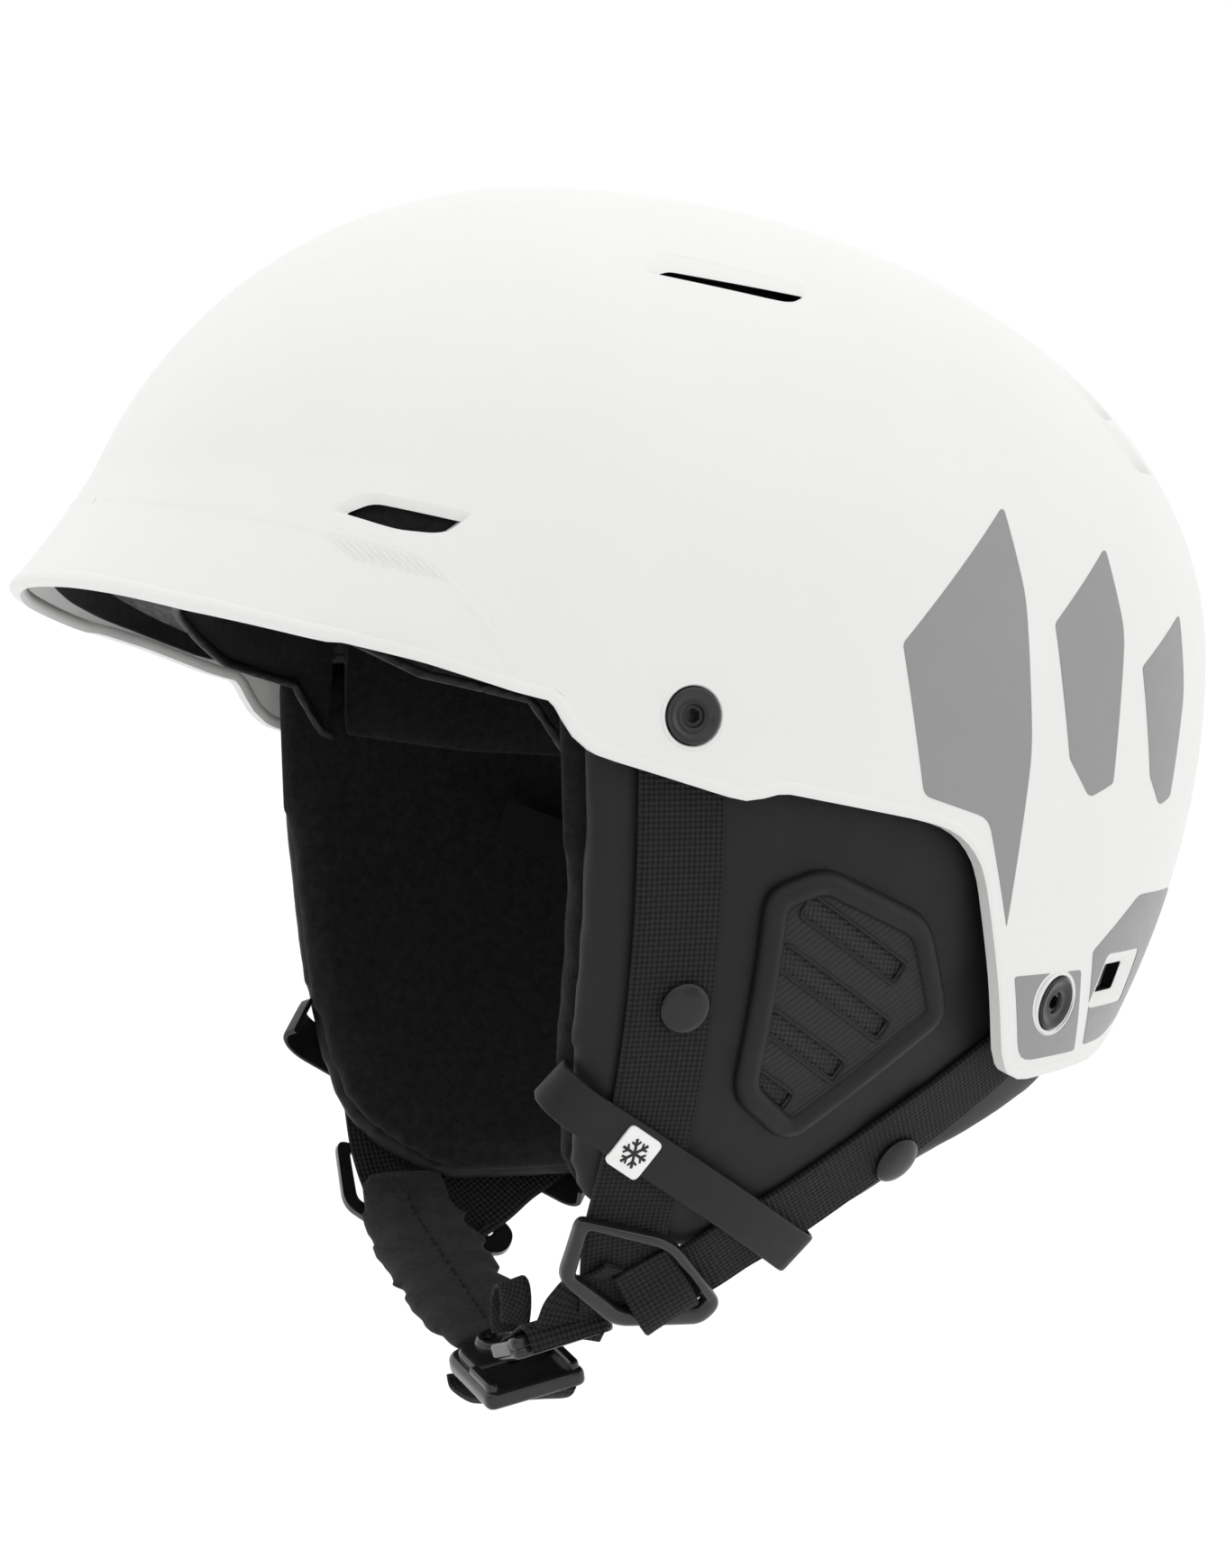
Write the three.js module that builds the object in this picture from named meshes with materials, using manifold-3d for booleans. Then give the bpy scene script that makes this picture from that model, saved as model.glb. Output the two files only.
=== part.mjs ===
// A ski helmet with soft ear pads: hard shell, foam liner, fit band, strap system and goggle clip.
// Units are millimetres. -Y is the front, +X the wearer's left, +Z up.
// The origin is on the middle plane, in the head opening, at the height of the brim's edge.
import * as THREE from "three";
import { mergeVertices } from "three/addons/utils/BufferGeometryUtils.js";
import Module from "manifold-3d";

const wasm = await Module();
wasm.setup();

// ---- Driving dimensions ----

// The shell: a dome whose plan is a superellipse, longer behind the ears than in front of them.
const SHELL = {
  top: 95.4, // crown height
  belt: -13.3, // height of the widest section
  front: 102.7, // reach forward at the belt, before the brim's flare
  rear: 169.5,
  half: 112, // half of the width
  frontPower: 1.91,
  rearPower: 2.03,
  sidePower: 2.34,
  planPower: 2.15,
  frontTuck: 0.02, // how far each side draws in at tuckDepth under the belt
  rearTuck: 0.245,
  sideTuck: 0.1,
  tuckDepth: 110,
  wall: 3,
};
const BRIM = { flare: 6.3, start: 32.3, depth: 18.4, power: 1.6 };
const GAP = 0.35; // between pieces that rest on each other

// Foam liner and comfort pads, as depths under the shell's outer surface.
const FOAM_OUT = { front: 4.4, rear: 4.4, half: 4.4, top: 4.4 };
const FOAM_IN = { front: 24, rear: 34, half: 26, top: 26 };
const PAD_OUT = { front: 25, rear: 35, half: 27.4, top: 26.8 };
const PAD_IN = { front: 30, rear: 39, half: 31, top: 31 };

// Ear pads lie on a skin of their own, a little inside the shell, that turns in under the jaw.
const EAR = { inset: 6, turnStart: -45, turnDepth: 75, turnIn: 12, cover: 8.6, lining: 8 };
const WEB = { low: 0.6, high: 1.9 }; // strap webbing, above the ear skin
const KEEPER = { low: 2.3, high: 3.5, hook: -8 };
const DIVIDER = { low: 2.3, high: 5 };
const GRILLE = { low: 0.35, plate: 1.7, plateTop: 2.9, rim: 3.7 };
const SNAP_RADIUS = 5.75;
const RIVET = { radius: 6, head: 1.7, shank: 2.6, washer: 5.4 };
const SHANK_HOLE = 3.1;

// The fit band runs in a plane that slopes down to the nape.
const BAND = { centre: [0, 45, -60], slope: -20, radius: 76, wall: 1.8, height: 10 };
const DIAL = { radius: 13, depth: 8 };

// The goggle clip at the back.
const CLIP = { halfWidth: 12, top: -44, bottom: -84, low: 1.9, high: 3.6 };

const COLOURS = {
  shell: { color: 0xf0f0ec, roughness: 0.45, metalness: 0 },
  foam: { color: 0x4a4b4d, roughness: 0.9, metalness: 0 },
  plastic: { color: 0x17181a, roughness: 0.4, metalness: 0 },
  rubber: { color: 0x232426, roughness: 0.65, metalness: 0 },
  softshell: { color: 0x202123, roughness: 0.7, metalness: 0 },
  webbing: { color: 0x1b1b1d, roughness: 0.85, metalness: 0 },
  fleece: { color: 0x141416, roughness: 1, metalness: 0 },
  mesh: { color: 0x101012, roughness: 0.9, metalness: 0 },
  tag: { color: 0xf4f4f2, roughness: 0.5, metalness: 0 },
};

// ---- Solids: three.js shapes, joined and cut ----

function solid(geometry) {
  const bare = geometry.index ? geometry.toNonIndexed() : geometry.clone();
  bare.deleteAttribute("normal");
  bare.deleteAttribute("uv");
  const merged = mergeVertices(bare, 1e-4);
  return new wasm.Manifold(
    new wasm.Mesh({
      numProp: 3,
      vertProperties: merged.attributes.position.array,
      triVerts: new Uint32Array(merged.index.array),
    }),
  );
}

function geometryOf(made) {
  const mesh = made.getMesh();
  const geometry = new THREE.BufferGeometry();
  geometry.setAttribute("position", new THREE.BufferAttribute(mesh.vertProperties, 3));
  geometry.setIndex(new THREE.BufferAttribute(mesh.triVerts, 1));
  return geometry;
}

function warp(geometry, map) {
  const place = geometry.attributes.position;
  for (let i = 0; i < place.count; i++) {
    place.setXYZ(i, ...map(place.getX(i), place.getY(i), place.getZ(i)));
  }
  return geometry;
}

// The other side's copy: mirrored across the middle plane, with its faces turned back outwards.
function mirrored(geometry) {
  const copy = geometry.index ? geometry.toNonIndexed() : geometry.clone();
  copy.scale(-1, 1, 1);
  const place = copy.attributes.position;
  for (let i = 0; i < place.count; i += 3) {
    const [x, y, z] = [place.getX(i), place.getY(i), place.getZ(i)];
    place.setXYZ(i, place.getX(i + 1), place.getY(i + 1), place.getZ(i + 1));
    place.setXYZ(i + 1, x, y, z);
  }
  return copy;
}

// An outline drawn in the side view, as [y, z] corners; a corner with a third value is rounded.
function sideOutline(corners) {
  const shape = new THREE.Shape();
  corners.forEach(([y, z, round = 0], i) => {
    const before = corners[(i + corners.length - 1) % corners.length];
    const after = corners[(i + 1) % corners.length];
    const here = new THREE.Vector2(y, z);
    const start = new THREE.Vector2(before[0], before[1]).sub(here).setLength(round).add(here);
    const end = new THREE.Vector2(after[0], after[1]).sub(here).setLength(round).add(here);
    if (i === 0) shape.moveTo(start.x, start.y);
    else shape.lineTo(start.x, start.y);
    if (round > 0) shape.quadraticCurveTo(here.x, here.y, end.x, end.y);
  });
  return shape;
}

// A side-view outline pushed through the helmet from x = from to x = to.
function sidePrism(corners, from, to, curveSegments = 2) {
  const geometry = new THREE.ExtrudeGeometry(sideOutline(corners), {
    depth: to - from,
    bevelEnabled: false,
    curveSegments,
  });
  return solid(warp(geometry, (a, b, c) => [c + from, a, b]));
}

// A turned piece from a [radius, height] profile, standing on a place and pointing along a normal.
function turned(profile, place, normal, segments = 16) {
  const points = profile.map(([r, h]) => new THREE.Vector2(r, h));
  const geometry = new THREE.LatheGeometry(points, segments);
  const turn = new THREE.Quaternion().setFromUnitVectors(new THREE.Vector3(0, 1, 0), normal);
  geometry.applyQuaternion(turn);
  geometry.translate(...place);
  return geometry;
}

function pin(radius, low, high, place, normal, segments = 16) {
  return solid(turned([[0, low], [radius, low], [radius, high], [0, high]], place, normal, segments));
}

// ---- The shell's surface ----

function depths(inset) {
  return typeof inset === "number" ? { front: inset, rear: inset, half: inset, top: inset } : inset;
}

// How far the section at height z reaches to the front, to the rear and to each side.
function reach(z, inset, brim) {
  const d = depths(inset);
  const top = SHELL.top - d.top;
  const up = Math.min(Math.max((z - SHELL.belt) / (top - SHELL.belt), 0), 1);
  const down = Math.max((SHELL.belt - z) / SHELL.tuckDepth, 0) ** 2;
  const arch = (power) => (1 - up ** power) ** (1 / power);
  const flare = brim ? BRIM.flare * Math.min(Math.max((BRIM.start - z) / BRIM.depth, 0), 2) ** BRIM.power : 0;
  return {
    front: (SHELL.front * (1 - SHELL.frontTuck * down) - d.front) * arch(SHELL.frontPower) + flare,
    rear: (SHELL.rear * (1 - SHELL.rearTuck * down) - d.rear) * arch(SHELL.rearPower),
    half: (SHELL.half * (1 - SHELL.sideTuck * down) - d.half) * arch(SHELL.sidePower),
  };
}

function sideX(y, z, inset = 0) {
  const size = reach(z, inset, true);
  const share = Math.min(Math.abs(y) / (y < 0 ? size.front : size.rear), 1);
  return size.half * (1 - share ** SHELL.planPower) ** (1 / SHELL.planPower);
}

function rearY(x, z) {
  const size = reach(z, 0, false);
  return size.rear * (1 - (Math.abs(x) / size.half) ** SHELL.planPower) ** (1 / SHELL.planPower);
}

// The closed dome under one skin, down to a flat floor.
function dome(inset, floor, rings, segments, brim) {
  const top = SHELL.top - depths(inset).top;
  const profile = [new THREE.Vector2(0, floor)];
  const wallRings = Math.round(rings / 2);
  for (let i = 0; i < wallRings; i++) {
    profile.push(new THREE.Vector2(1, floor + ((SHELL.belt - floor) * i) / wallRings));
  }
  for (let i = 0; i < rings; i++) {
    const height = SHELL.belt + (top - SHELL.belt) * Math.sin((i / rings) * (Math.PI / 2));
    profile.push(new THREE.Vector2(1, height));
  }
  profile.push(new THREE.Vector2(0, top));
  const power = 2 / SHELL.planPower;
  return solid(
    warp(new THREE.LatheGeometry(profile, segments), (a, height, b) => {
      if (Math.hypot(a, b) < 0.5) return [0, 0, height];
      const size = reach(height, inset, brim);
      const x = Math.sign(a) * Math.abs(a) ** power * size.half;
      const y = -Math.sign(b) * Math.abs(b) ** power * (b > 0 ? size.front : size.rear);
      return [x, Math.abs(y) < 1e-9 ? 0 : y, height];
    }),
  );
}

// ---- Outlines in the side view ----

const RIM = [
  [-140, 130], [-140, 9], [-110, 8], [-98, 3], [-79, -3], [-57, -9], [-38, -15.5], [-30, -17.5, 2],
  [-24, -28, 5], [12, -39, 3], [20, -37, 3], [54, -43.5], [73, -48, 14], [82, -83], [86.5, -104, 6],
  [123, -102], [140, -96], [152, -86], [190, -86], [190, 130],
];
const FOAM_RIM = [
  [-140, 130], [-140, 17], [-96, 16], [-86, 8, 3], [-70, 1, 3], [-57, -4, 3], [-40, -10, 3], [-28, -14, 6],
  [80, -14, 6], [90, -34, 6], [99, -68, 4], [190, -70], [190, 130],
];
const BROW_PAD = [
  [-120, 34], [-120, 7], [-80, 4, 3], [-62, -4, 4], [-45, -14, 4], [-25, -19, 4], [-17.5, -31, 2], [-14, -32.5],
  [-14, 34, 6],
];
const SIDE_PAD = [[-12, -33, 2], [20, -37.5, 4], [66, -40, 8], [66, 30, 8], [-12, 34, 8]];
const FRONT_VENT = [[-70, 20.5, 2], [-64.5, 23.3, 2], [-46.5, 19.3, 2], [-52, 15.6, 3], [-60, 16.6, 2]];
const TOP_VENT = [[5, 72.5, 2], [11, 75.5, 2], [40, 71.6, 2], [42.5, 69.6, 1], [37, 67.3, 3], [12, 68.2, 2]];
const REAR_VENTS = [
  [[121, 49], [126, 50], [132, 42], [127, 41]],
  [[125, 39], [131, 40], [139, 31], [133, 30]],
];
const REAR_SLOT = [[116, -88.5], [117.5, -81.5], [129, -81.5], [127.5, -88.5]];
const VENT_REACH = { front: 48, top: 46, rear: 30, slot: 50 };

const EAR_PAD = [
  [-22.5, -16], [-22.5, -62, 12], [-20, -103, 12], [-12, -128, 10], [10, -139, 8], [46, -140.5, 8],
  [95, -120, 8], [118, -110, 8], [115, -76, 6], [95, -72, 6], [86, -36, 10], [78, -16, 10],
];
const EAR_LINING = EAR_PAD.map(([y, z, round]) => [y < 0 ? y + 2 : y - 1, z < -100 ? z + 1 : z, round]);
const FRONT_WEBBING = [
  [-11.5, -15.5], [8.5, -15.5], [9, -138], [14, -150], [-5, -150], [-10.5, -136], [-10.5, -112],
];
const REAR_WEBBING = [
  [98, -79], [87, -91], [24, -129], [10.5, -134.5], [16, -147], [28, -149], [47, -141], [98, -106], [109, -92],
];
const KEEPER_BAND = [[-24.4, -97], [50, -141.5], [43, -149.5], [-24.4, -109]];
const KEEPER_FRONT_HOOK = [[-24.4, -97], [-22.9, -97.9], [-22.9, -108], [-24.4, -109]];
const KEEPER_REAR_HOOK = [[50, -141.5], [43, -149.5], [42, -148.5], [48.6, -141]];
const GRILLE_EDGE = [[19, -60.5, 5], [33, -55.5, 5], [61, -67.5, 5], [70.5, -90.5, 6], [32.5, -118, 6], [16.5, -106, 6]];
const DIVIDER_EDGE = [[-14.5, -130.5, 2], [9, -136.5, 4], [26, -153, 3], [22, -157.5, 2], [0, -156.5, 4], [-15.5, -145, 3]];
const DIVIDER_WINDOW = [[-10, -134.5, 1], [7, -140, 2], [18.5, -151.5, 1], [1, -151.5, 2], [-10.5, -143, 1]];
const GRILLE_SLOTS = [
  { y: 29, z: -64, length: 30 },
  { y: 23.5, z: -74.5, length: 34 },
  { y: 22, z: -88.5, length: 24 },
  { y: 21, z: -102, length: 11 },
];
const SLOT = { slope: -32, width: 4.6 };
const TAG = { y: -5, z: -116, size: 9.5, slope: -32 };
const SNAPS = { front: [2, -85], rear: [64, -122.5] };
const RIVETS = { front: [-1, -23], rear: [99, -89] };

// Moves every corner of an outline away from its middle (negative: towards it).
function grown(corners, by) {
  const cy = corners.reduce((sum, c) => sum + c[0], 0) / corners.length;
  const cz = corners.reduce((sum, c) => sum + c[1], 0) / corners.length;
  return corners.map(([y, z, round]) => {
    const out = new THREE.Vector2(y - cy, z - cz);
    out.setLength(out.length() + by);
    return [cy + out.x, cz + out.y, round];
  });
}

// A bar of a given length and width, from its start along a slope in degrees.
function slopedBar(y, z, length, width, slope, round = 0.8) {
  const along = new THREE.Vector2(Math.cos((slope * Math.PI) / 180), Math.sin((slope * Math.PI) / 180));
  const across = new THREE.Vector2(-along.y, along.x).multiplyScalar(width / 2);
  return [
    [y + across.x, z + across.y, round],
    [y - across.x, z - across.y, round],
    [y + along.x * length - across.x, z + along.y * length - across.y, round],
    [y + along.x * length + across.x, z + along.y * length + across.y, round],
  ];
}

// ---- Shell and liner ----

function shellNormal(y, z) {
  const step = 1;
  const slopeY = (sideX(y + step, z) - sideX(y - step, z)) / (2 * step);
  const slopeZ = (sideX(y, z + step) - sideX(y, z - step)) / (2 * step);
  return new THREE.Vector3(1, -slopeY, -slopeZ).normalize();
}

function rivetPlace([y, z]) {
  return [sideX(y, z), y, z];
}

function ventCutters(spread) {
  const cuts = [
    sidePrism(grown(FRONT_VENT, spread), VENT_REACH.front, 130),
    sidePrism(grown(TOP_VENT, spread), VENT_REACH.top, 130),
  ];
  return cuts;
}

function bothSides(made) {
  return made.add(solid(mirrored(geometryOf(made))));
}

function joined(solids) {
  return solids.reduce((all, one) => all.add(one));
}

function outerShell() {
  const rearCuts = REAR_VENTS.map((outline) => sidePrism(outline, VENT_REACH.rear, 130));
  rearCuts.push(sidePrism(REAR_SLOT, VENT_REACH.slot, 130));
  const holes = Object.values(RIVETS).map((at) => pin(SHANK_HOLE, -9, 9, rivetPlace(at), shellNormal(...at)));
  const cuts = bothSides(joined([...ventCutters(0), ...rearCuts, ...holes]));
  const wall = dome(0, -130, 9, 40, true).subtract(dome(SHELL.wall, -140, 9, 40, true));
  return geometryOf(wall.intersect(sidePrism(RIM, -130, 130, 4)).subtract(cuts));
}

function foamLiner() {
  const wall = dome(FOAM_OUT, -120, 7, 28, false).subtract(dome(FOAM_IN, -130, 7, 28, false));
  const cuts = bothSides(joined(ventCutters(1.5)));
  return geometryOf(wall.intersect(sidePrism(FOAM_RIM, -130, 130)).subtract(cuts));
}

function topVentMesh() {
  const outer = dome(SHELL.wall + 0.8, 20, 9, 40, false);
  const sheet = outer.subtract(dome(SHELL.wall + 2.2, 10, 9, 40, false));
  return geometryOf(sheet.intersect(sidePrism(grown(TOP_VENT, 0.8), 60, 110)));
}

// A comfort pad: the space between the foam and the head, inside a side-view outline.
function comfortPad(corners, from, to) {
  const outer = dome(PAD_OUT, -120, 7, 28, false);
  const layer = outer.subtract(dome(PAD_IN, -130, 7, 28, false));
  return layer.intersect(sidePrism(corners, from, to));
}

function browPad() {
  return geometryOf(comfortPad(BROW_PAD, -100, 100));
}

function crownPad() {
  const plan = new THREE.Shape();
  plan.absellipse(0, 25, 34, 60, 0, 2 * Math.PI, false, 0);
  const column = new THREE.ExtrudeGeometry(plan, { depth: 80, bevelEnabled: false, curveSegments: 10 });
  return geometryOf(comfortPad([[-120, 40], [-120, 100], [170, 100], [170, 40]], -100, 100).intersect(solid(column)));
}

function sidePad() {
  return geometryOf(comfortPad(SIDE_PAD, 30, 110));
}

function rivet(at) {
  const { radius, head, shank, washer } = RIVET;
  const profile = [
    [0, -10.6], [washer, -10.6], [washer, -9.4], [shank, -9.4], [shank, 0.25], [radius, 0.25],
    [radius, 0.9], [radius - 1.2, head + 0.25], [shank, head + 0.25], [shank - 0.7, 0.9], [0, 0.9],
  ];
  return turned(profile, rivetPlace(at), shellNormal(...at), 12);
}

// ---- Ear side: everything lies on the ear skin ----

function earX(y, z) {
  const turn = Math.max((EAR.turnStart - z) / EAR.turnDepth, 0) ** 2;
  return sideX(y, z) - EAR.inset - EAR.turnIn * turn;
}

function earNormal(y, z) {
  const step = 1;
  const slopeY = (earX(y + step, z) - earX(y - step, z)) / (2 * step);
  const slopeZ = (earX(y, z + step) - earX(y, z - step)) / (2 * step);
  return new THREE.Vector3(1, -slopeY, -slopeZ).normalize();
}

// A layer over the ear skin, from height low to height high, inside a side-view outline.
function earLayer(corners, low, high, cell = 9) {
  const ys = corners.map((c) => c[0]);
  const zs = corners.map((c) => c[1]);
  const [y0, y1] = [Math.min(...ys) - 2, Math.max(...ys) + 2];
  const [z0, z1] = [Math.min(...zs) - 2, Math.max(...zs) + 2];
  const cellsY = Math.max(Math.ceil((y1 - y0) / cell), 1);
  const cellsZ = Math.max(Math.ceil((z1 - z0) / cell), 1);
  const block = new THREE.BoxGeometry(high - low, y1 - y0, z1 - z0, 1, cellsY, cellsZ);
  block.translate((low + high) / 2, (y0 + y1) / 2, (z0 + z1) / 2);
  const layer = solid(warp(block, (t, y, z) => [earX(y, z) + t, y, z]));
  return layer.intersect(sidePrism(corners, 20, 125));
}

function rivetPockets() {
  return joined(
    Object.values(RIVETS).map((at) => pin(RIVET.washer + 1, -20, 2, rivetPlace(at), shellNormal(...at))),
  );
}

function shankHoles() {
  return joined(Object.values(RIVETS).map((at) => pin(SHANK_HOLE, -20, 5, rivetPlace(at), shellNormal(...at))));
}

function earCover() {
  return geometryOf(earLayer(EAR_PAD, -EAR.cover, 0, 19).subtract(rivetPockets()));
}

function earLining() {
  const low = -EAR.cover - EAR.lining;
  return geometryOf(earLayer(EAR_LINING, low, -EAR.cover - GAP, 19));
}

function earWebbing(corners) {
  return geometryOf(earLayer(corners, WEB.low, WEB.high, 19).subtract(shankHoles()));
}

function earGrille() {
  const rim = earLayer(GRILLE_EDGE, GRILLE.low, GRILLE.rim, 19);
  const open = earLayer(grown(GRILLE_EDGE, -5), -2, 6, 19);
  const plate = earLayer(grown(GRILLE_EDGE, -4), GRILLE.plate, GRILLE.plateTop, 19);
  const slots = GRILLE_SLOTS.map(({ y, z, length }) =>
    sidePrism(slopedBar(y, z, length, SLOT.width, SLOT.slope), 20, 125, 2),
  );
  return geometryOf(rim.subtract(open).add(plate.subtract(joined(slots))));
}

function earMesh() {
  return geometryOf(earLayer(grown(GRILLE_EDGE, -5.6), GRILLE.low, GRILLE.plate - GAP, 19));
}

function snap([y, z]) {
  const normal = earNormal(y, z);
  const place = [earX(y, z), y, z];
  const profile = [[0, 2.3], [SNAP_RADIUS - 0.3, 2.3], [SNAP_RADIUS, 2.7], [SNAP_RADIUS - 0.8, 3.7], [3, 4.3], [0, 4.5]];
  return turned(profile, place, normal, 12);
}

function keeperBand() {
  const strip = earLayer(KEEPER_BAND, KEEPER.low, KEEPER.high, 10);
  const front = earLayer(KEEPER_FRONT_HOOK, KEEPER.hook, KEEPER.high, 10);
  const rear = earLayer(KEEPER_REAR_HOOK, KEEPER.hook, KEEPER.high, 10);
  return geometryOf(strip.add(front).add(rear));
}

function keeperTag() {
  const { y, z, size, slope } = TAG;
  const turn = (slope * Math.PI) / 180;
  const start = [y - (Math.cos(turn) * size) / 2, z - (Math.sin(turn) * size) / 2];
  return geometryOf(earLayer(slopedBar(...start, size, size, slope, 1.5), KEEPER.high + GAP, KEEPER.high + 0.9, 6));
}

function divider() {
  const plate = earLayer(DIVIDER_EDGE, DIVIDER.low, DIVIDER.high, 8);
  return geometryOf(plate.subtract(sidePrism(DIVIDER_WINDOW, 20, 125)));
}

// ---- Chin strap and buckle ----

// A flat strap along a path, its width lying along Y.
function strap(points, width, thickness, steps) {
  const path = new THREE.CatmullRomCurve3(points.map((p) => new THREE.Vector3(...p)));
  const block = new THREE.BoxGeometry(1, width, thickness, steps, 1, 1);
  return warp(block, (a, across, up) => {
    const at = path.getPointAt(a + 0.5);
    const along = path.getTangentAt(a + 0.5);
    const out = new THREE.Vector3().crossVectors(along, new THREE.Vector3(0, 1, 0)).normalize();
    return [at.x + out.x * up, at.y + across, at.z + out.z * up];
  });
}

// The chin strap's middle line, from the right divider to the buckle.
const SLEEVE_PATH = [
  [-54, -4, -149], [-44, -4.6, -152.5], [-30, -5.6, -156.6], [-12, -7, -162], [6, -8.5, -167], [14, -9.5, -168.8],
];
const SLEEVE = { width: 27, thickness: 7 };
const BUCKLE = { x: 30, y: -10, z: -172, tilt: 8 };
const TONGUE = { x: 47.5, y: -9.5, z: -162.2, tilt: 16 };

function plateOutline(length, width, round) {
  const shape = new THREE.Shape();
  const [a, b] = [length / 2, width / 2];
  shape.moveTo(-a + round, -b);
  shape.lineTo(a - round, -b);
  shape.quadraticCurveTo(a, -b, a, -b + round);
  shape.lineTo(a, b - round);
  shape.quadraticCurveTo(a, b, a - round, b);
  shape.lineTo(-a + round, b);
  shape.quadraticCurveTo(-a, b, -a, b - round);
  shape.lineTo(-a, -b + round);
  shape.quadraticCurveTo(-a, -b, -a + round, -b);
  return shape;
}

function plate(length, width, thickness, round, holes = []) {
  const shape = plateOutline(length, width, round);
  shape.holes.push(...holes);
  const bevel = Math.min(0.8, thickness / 4);
  return new THREE.ExtrudeGeometry(shape, {
    depth: thickness - 2 * bevel,
    bevelThickness: bevel,
    bevelSize: bevel,
    bevelOffset: -bevel,
    bevelSegments: 1,
    curveSegments: 3,
  }).translate(0, 0, bevel - thickness / 2);
}

function buckleBase() {
  const hole = new THREE.Path().absarc(-9, 0, 2.4, 0, 2 * Math.PI, true);
  return plate(30, 24, 6, 6, [hole]);
}

function buckleTongue() {
  return plate(25, 25, 5, 3.5);
}

function pullRibbon() {
  return strap([[36.5, -14, -161.4], [35, -14, -156], [38, -14, -151.5], [41.5, -14, -154], [41, -14, -159.6]], 7, 1, 10);
}

// ---- Fit band, cradle and dial, in the band's own plane: +Z of the plane points up the head ----

// An arc of the band, between two angles counted from the back.
function bandArc(radius, wall, height, from, to) {
  const turn = (degrees) => Math.PI / 2 - (degrees * Math.PI) / 180;
  const shape = new THREE.Shape();
  shape.absarc(0, 0, radius + wall, turn(from), turn(to), true);
  shape.absarc(0, 0, radius, turn(to), turn(from), false);
  return new THREE.ExtrudeGeometry(shape, { depth: height, bevelEnabled: false, curveSegments: 10 });
}

function fitArm() {
  return bandArc(BAND.radius, BAND.wall, BAND.height, 9, 104).translate(0, 0, -BAND.height / 2);
}

function fitCradle() {
  return bandArc(BAND.radius - 2.6, 2, 30, -24, 24).translate(0, 0, -16);
}

function napePad() {
  return bandArc(BAND.radius - 9.2, 6, 34, -26, 26).translate(0, 0, -18);
}

function fitDial() {
  const start = BAND.radius + BAND.wall + 0.8;
  const grooves = 18;
  const shape = new THREE.Shape();
  for (let i = 0; i < 2 * grooves; i++) {
    const radius = DIAL.radius - (i % 2) * 0.8;
    const angle = (i * Math.PI) / grooves;
    if (i === 0) shape.moveTo(radius, 0);
    else shape.lineTo(radius * Math.cos(angle), radius * Math.sin(angle));
  }
  const knob = new THREE.ExtrudeGeometry(shape, {
    depth: DIAL.depth - 1,
    bevelThickness: 0.5,
    bevelSize: 0.5,
    bevelOffset: -0.5,
    bevelSegments: 1,
  });
  return knob.rotateX(-Math.PI / 2).translate(0, start + 0.5, 0);
}

// ---- Goggle clip, on the back of the shell ----

function backLayer(halfWidth, zLow, zHigh, low, high) {
  const block = new THREE.BoxGeometry(2 * halfWidth, high - low, zHigh - zLow, 6, 1, 5);
  block.translate(0, (low + high) / 2, (zLow + zHigh) / 2);
  return warp(block, (x, t, z) => [x, rearY(x, z) + t, z]);
}

function clipSnap(low, high, radius) {
  const z = CLIP.bottom + 7;
  const slope = (rearY(0, z + 1) - rearY(0, z - 1)) / 2;
  const normal = new THREE.Vector3(0, 1, -slope).normalize();
  return turned([[0, low], [radius, low], [radius - 0.4, high], [0, high]], [0, rearY(0, z), z], normal);
}

// ---- Assembly ----

const group = new THREE.Group();

function add(name, geometry, finish, parent = group) {
  const mesh = new THREE.Mesh(geometry, new THREE.MeshStandardMaterial(COLOURS[finish]));
  mesh.name = name;
  parent.add(mesh);
  return mesh;
}

function addPair(name, geometry, finish, parent = group) {
  add(name + "_left", geometry, finish, parent);
  add(name + "_right", mirrored(geometry), finish, parent);
}

add("outer_shell", outerShell(), "shell");
add("foam_liner", foamLiner(), "foam");
add("brow_pad", browPad(), "fleece");
add("crown_pad", crownPad(), "fleece");
addPair("side_pad", sidePad(), "fleece");
addPair("top_vent_mesh", topVentMesh(), "mesh");
for (const [where, at] of Object.entries(RIVETS)) addPair("rivet_" + where, rivet(at), "plastic");

addPair("ear_cover", earCover(), "softshell");
addPair("ear_lining", earLining(), "fleece");
addPair("ear_grille", earGrille(), "rubber");
addPair("ear_mesh", earMesh(), "mesh");
addPair("front_webbing", earWebbing(FRONT_WEBBING), "webbing");
addPair("rear_webbing", earWebbing(REAR_WEBBING), "webbing");
for (const [where, at] of Object.entries(SNAPS)) addPair("snap_" + where, snap(at), "plastic");
addPair("keeper_band", keeperBand(), "rubber");
addPair("keeper_tag", keeperTag(), "tag");
addPair("strap_divider", divider(), "plastic");

add("chin_sleeve", strap(SLEEVE_PATH, SLEEVE.width, SLEEVE.thickness, 14), "fleece");
const base = add("buckle_base", buckleBase(), "plastic");
base.position.set(BUCKLE.x, BUCKLE.y, BUCKLE.z);
base.rotation.y = (-BUCKLE.tilt * Math.PI) / 180;
const tongue = add("buckle_tongue", buckleTongue(), "plastic");
tongue.position.set(TONGUE.x, TONGUE.y, TONGUE.z);
tongue.rotation.y = (-TONGUE.tilt * Math.PI) / 180;
add("pull_ribbon", pullRibbon(), "webbing");
add("chin_webbing_fold", strap([[14, -10, -178.2], [27, -10, -178.8], [41, -10, -176.4]], 20, 1.6, 4), "webbing");
add("chin_webbing_left", strap([[60.4, -8, -158.4], [61.2, -7, -154.5], [61.7, -6, -151.2]], 19, 1.6, 3), "webbing");

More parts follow.
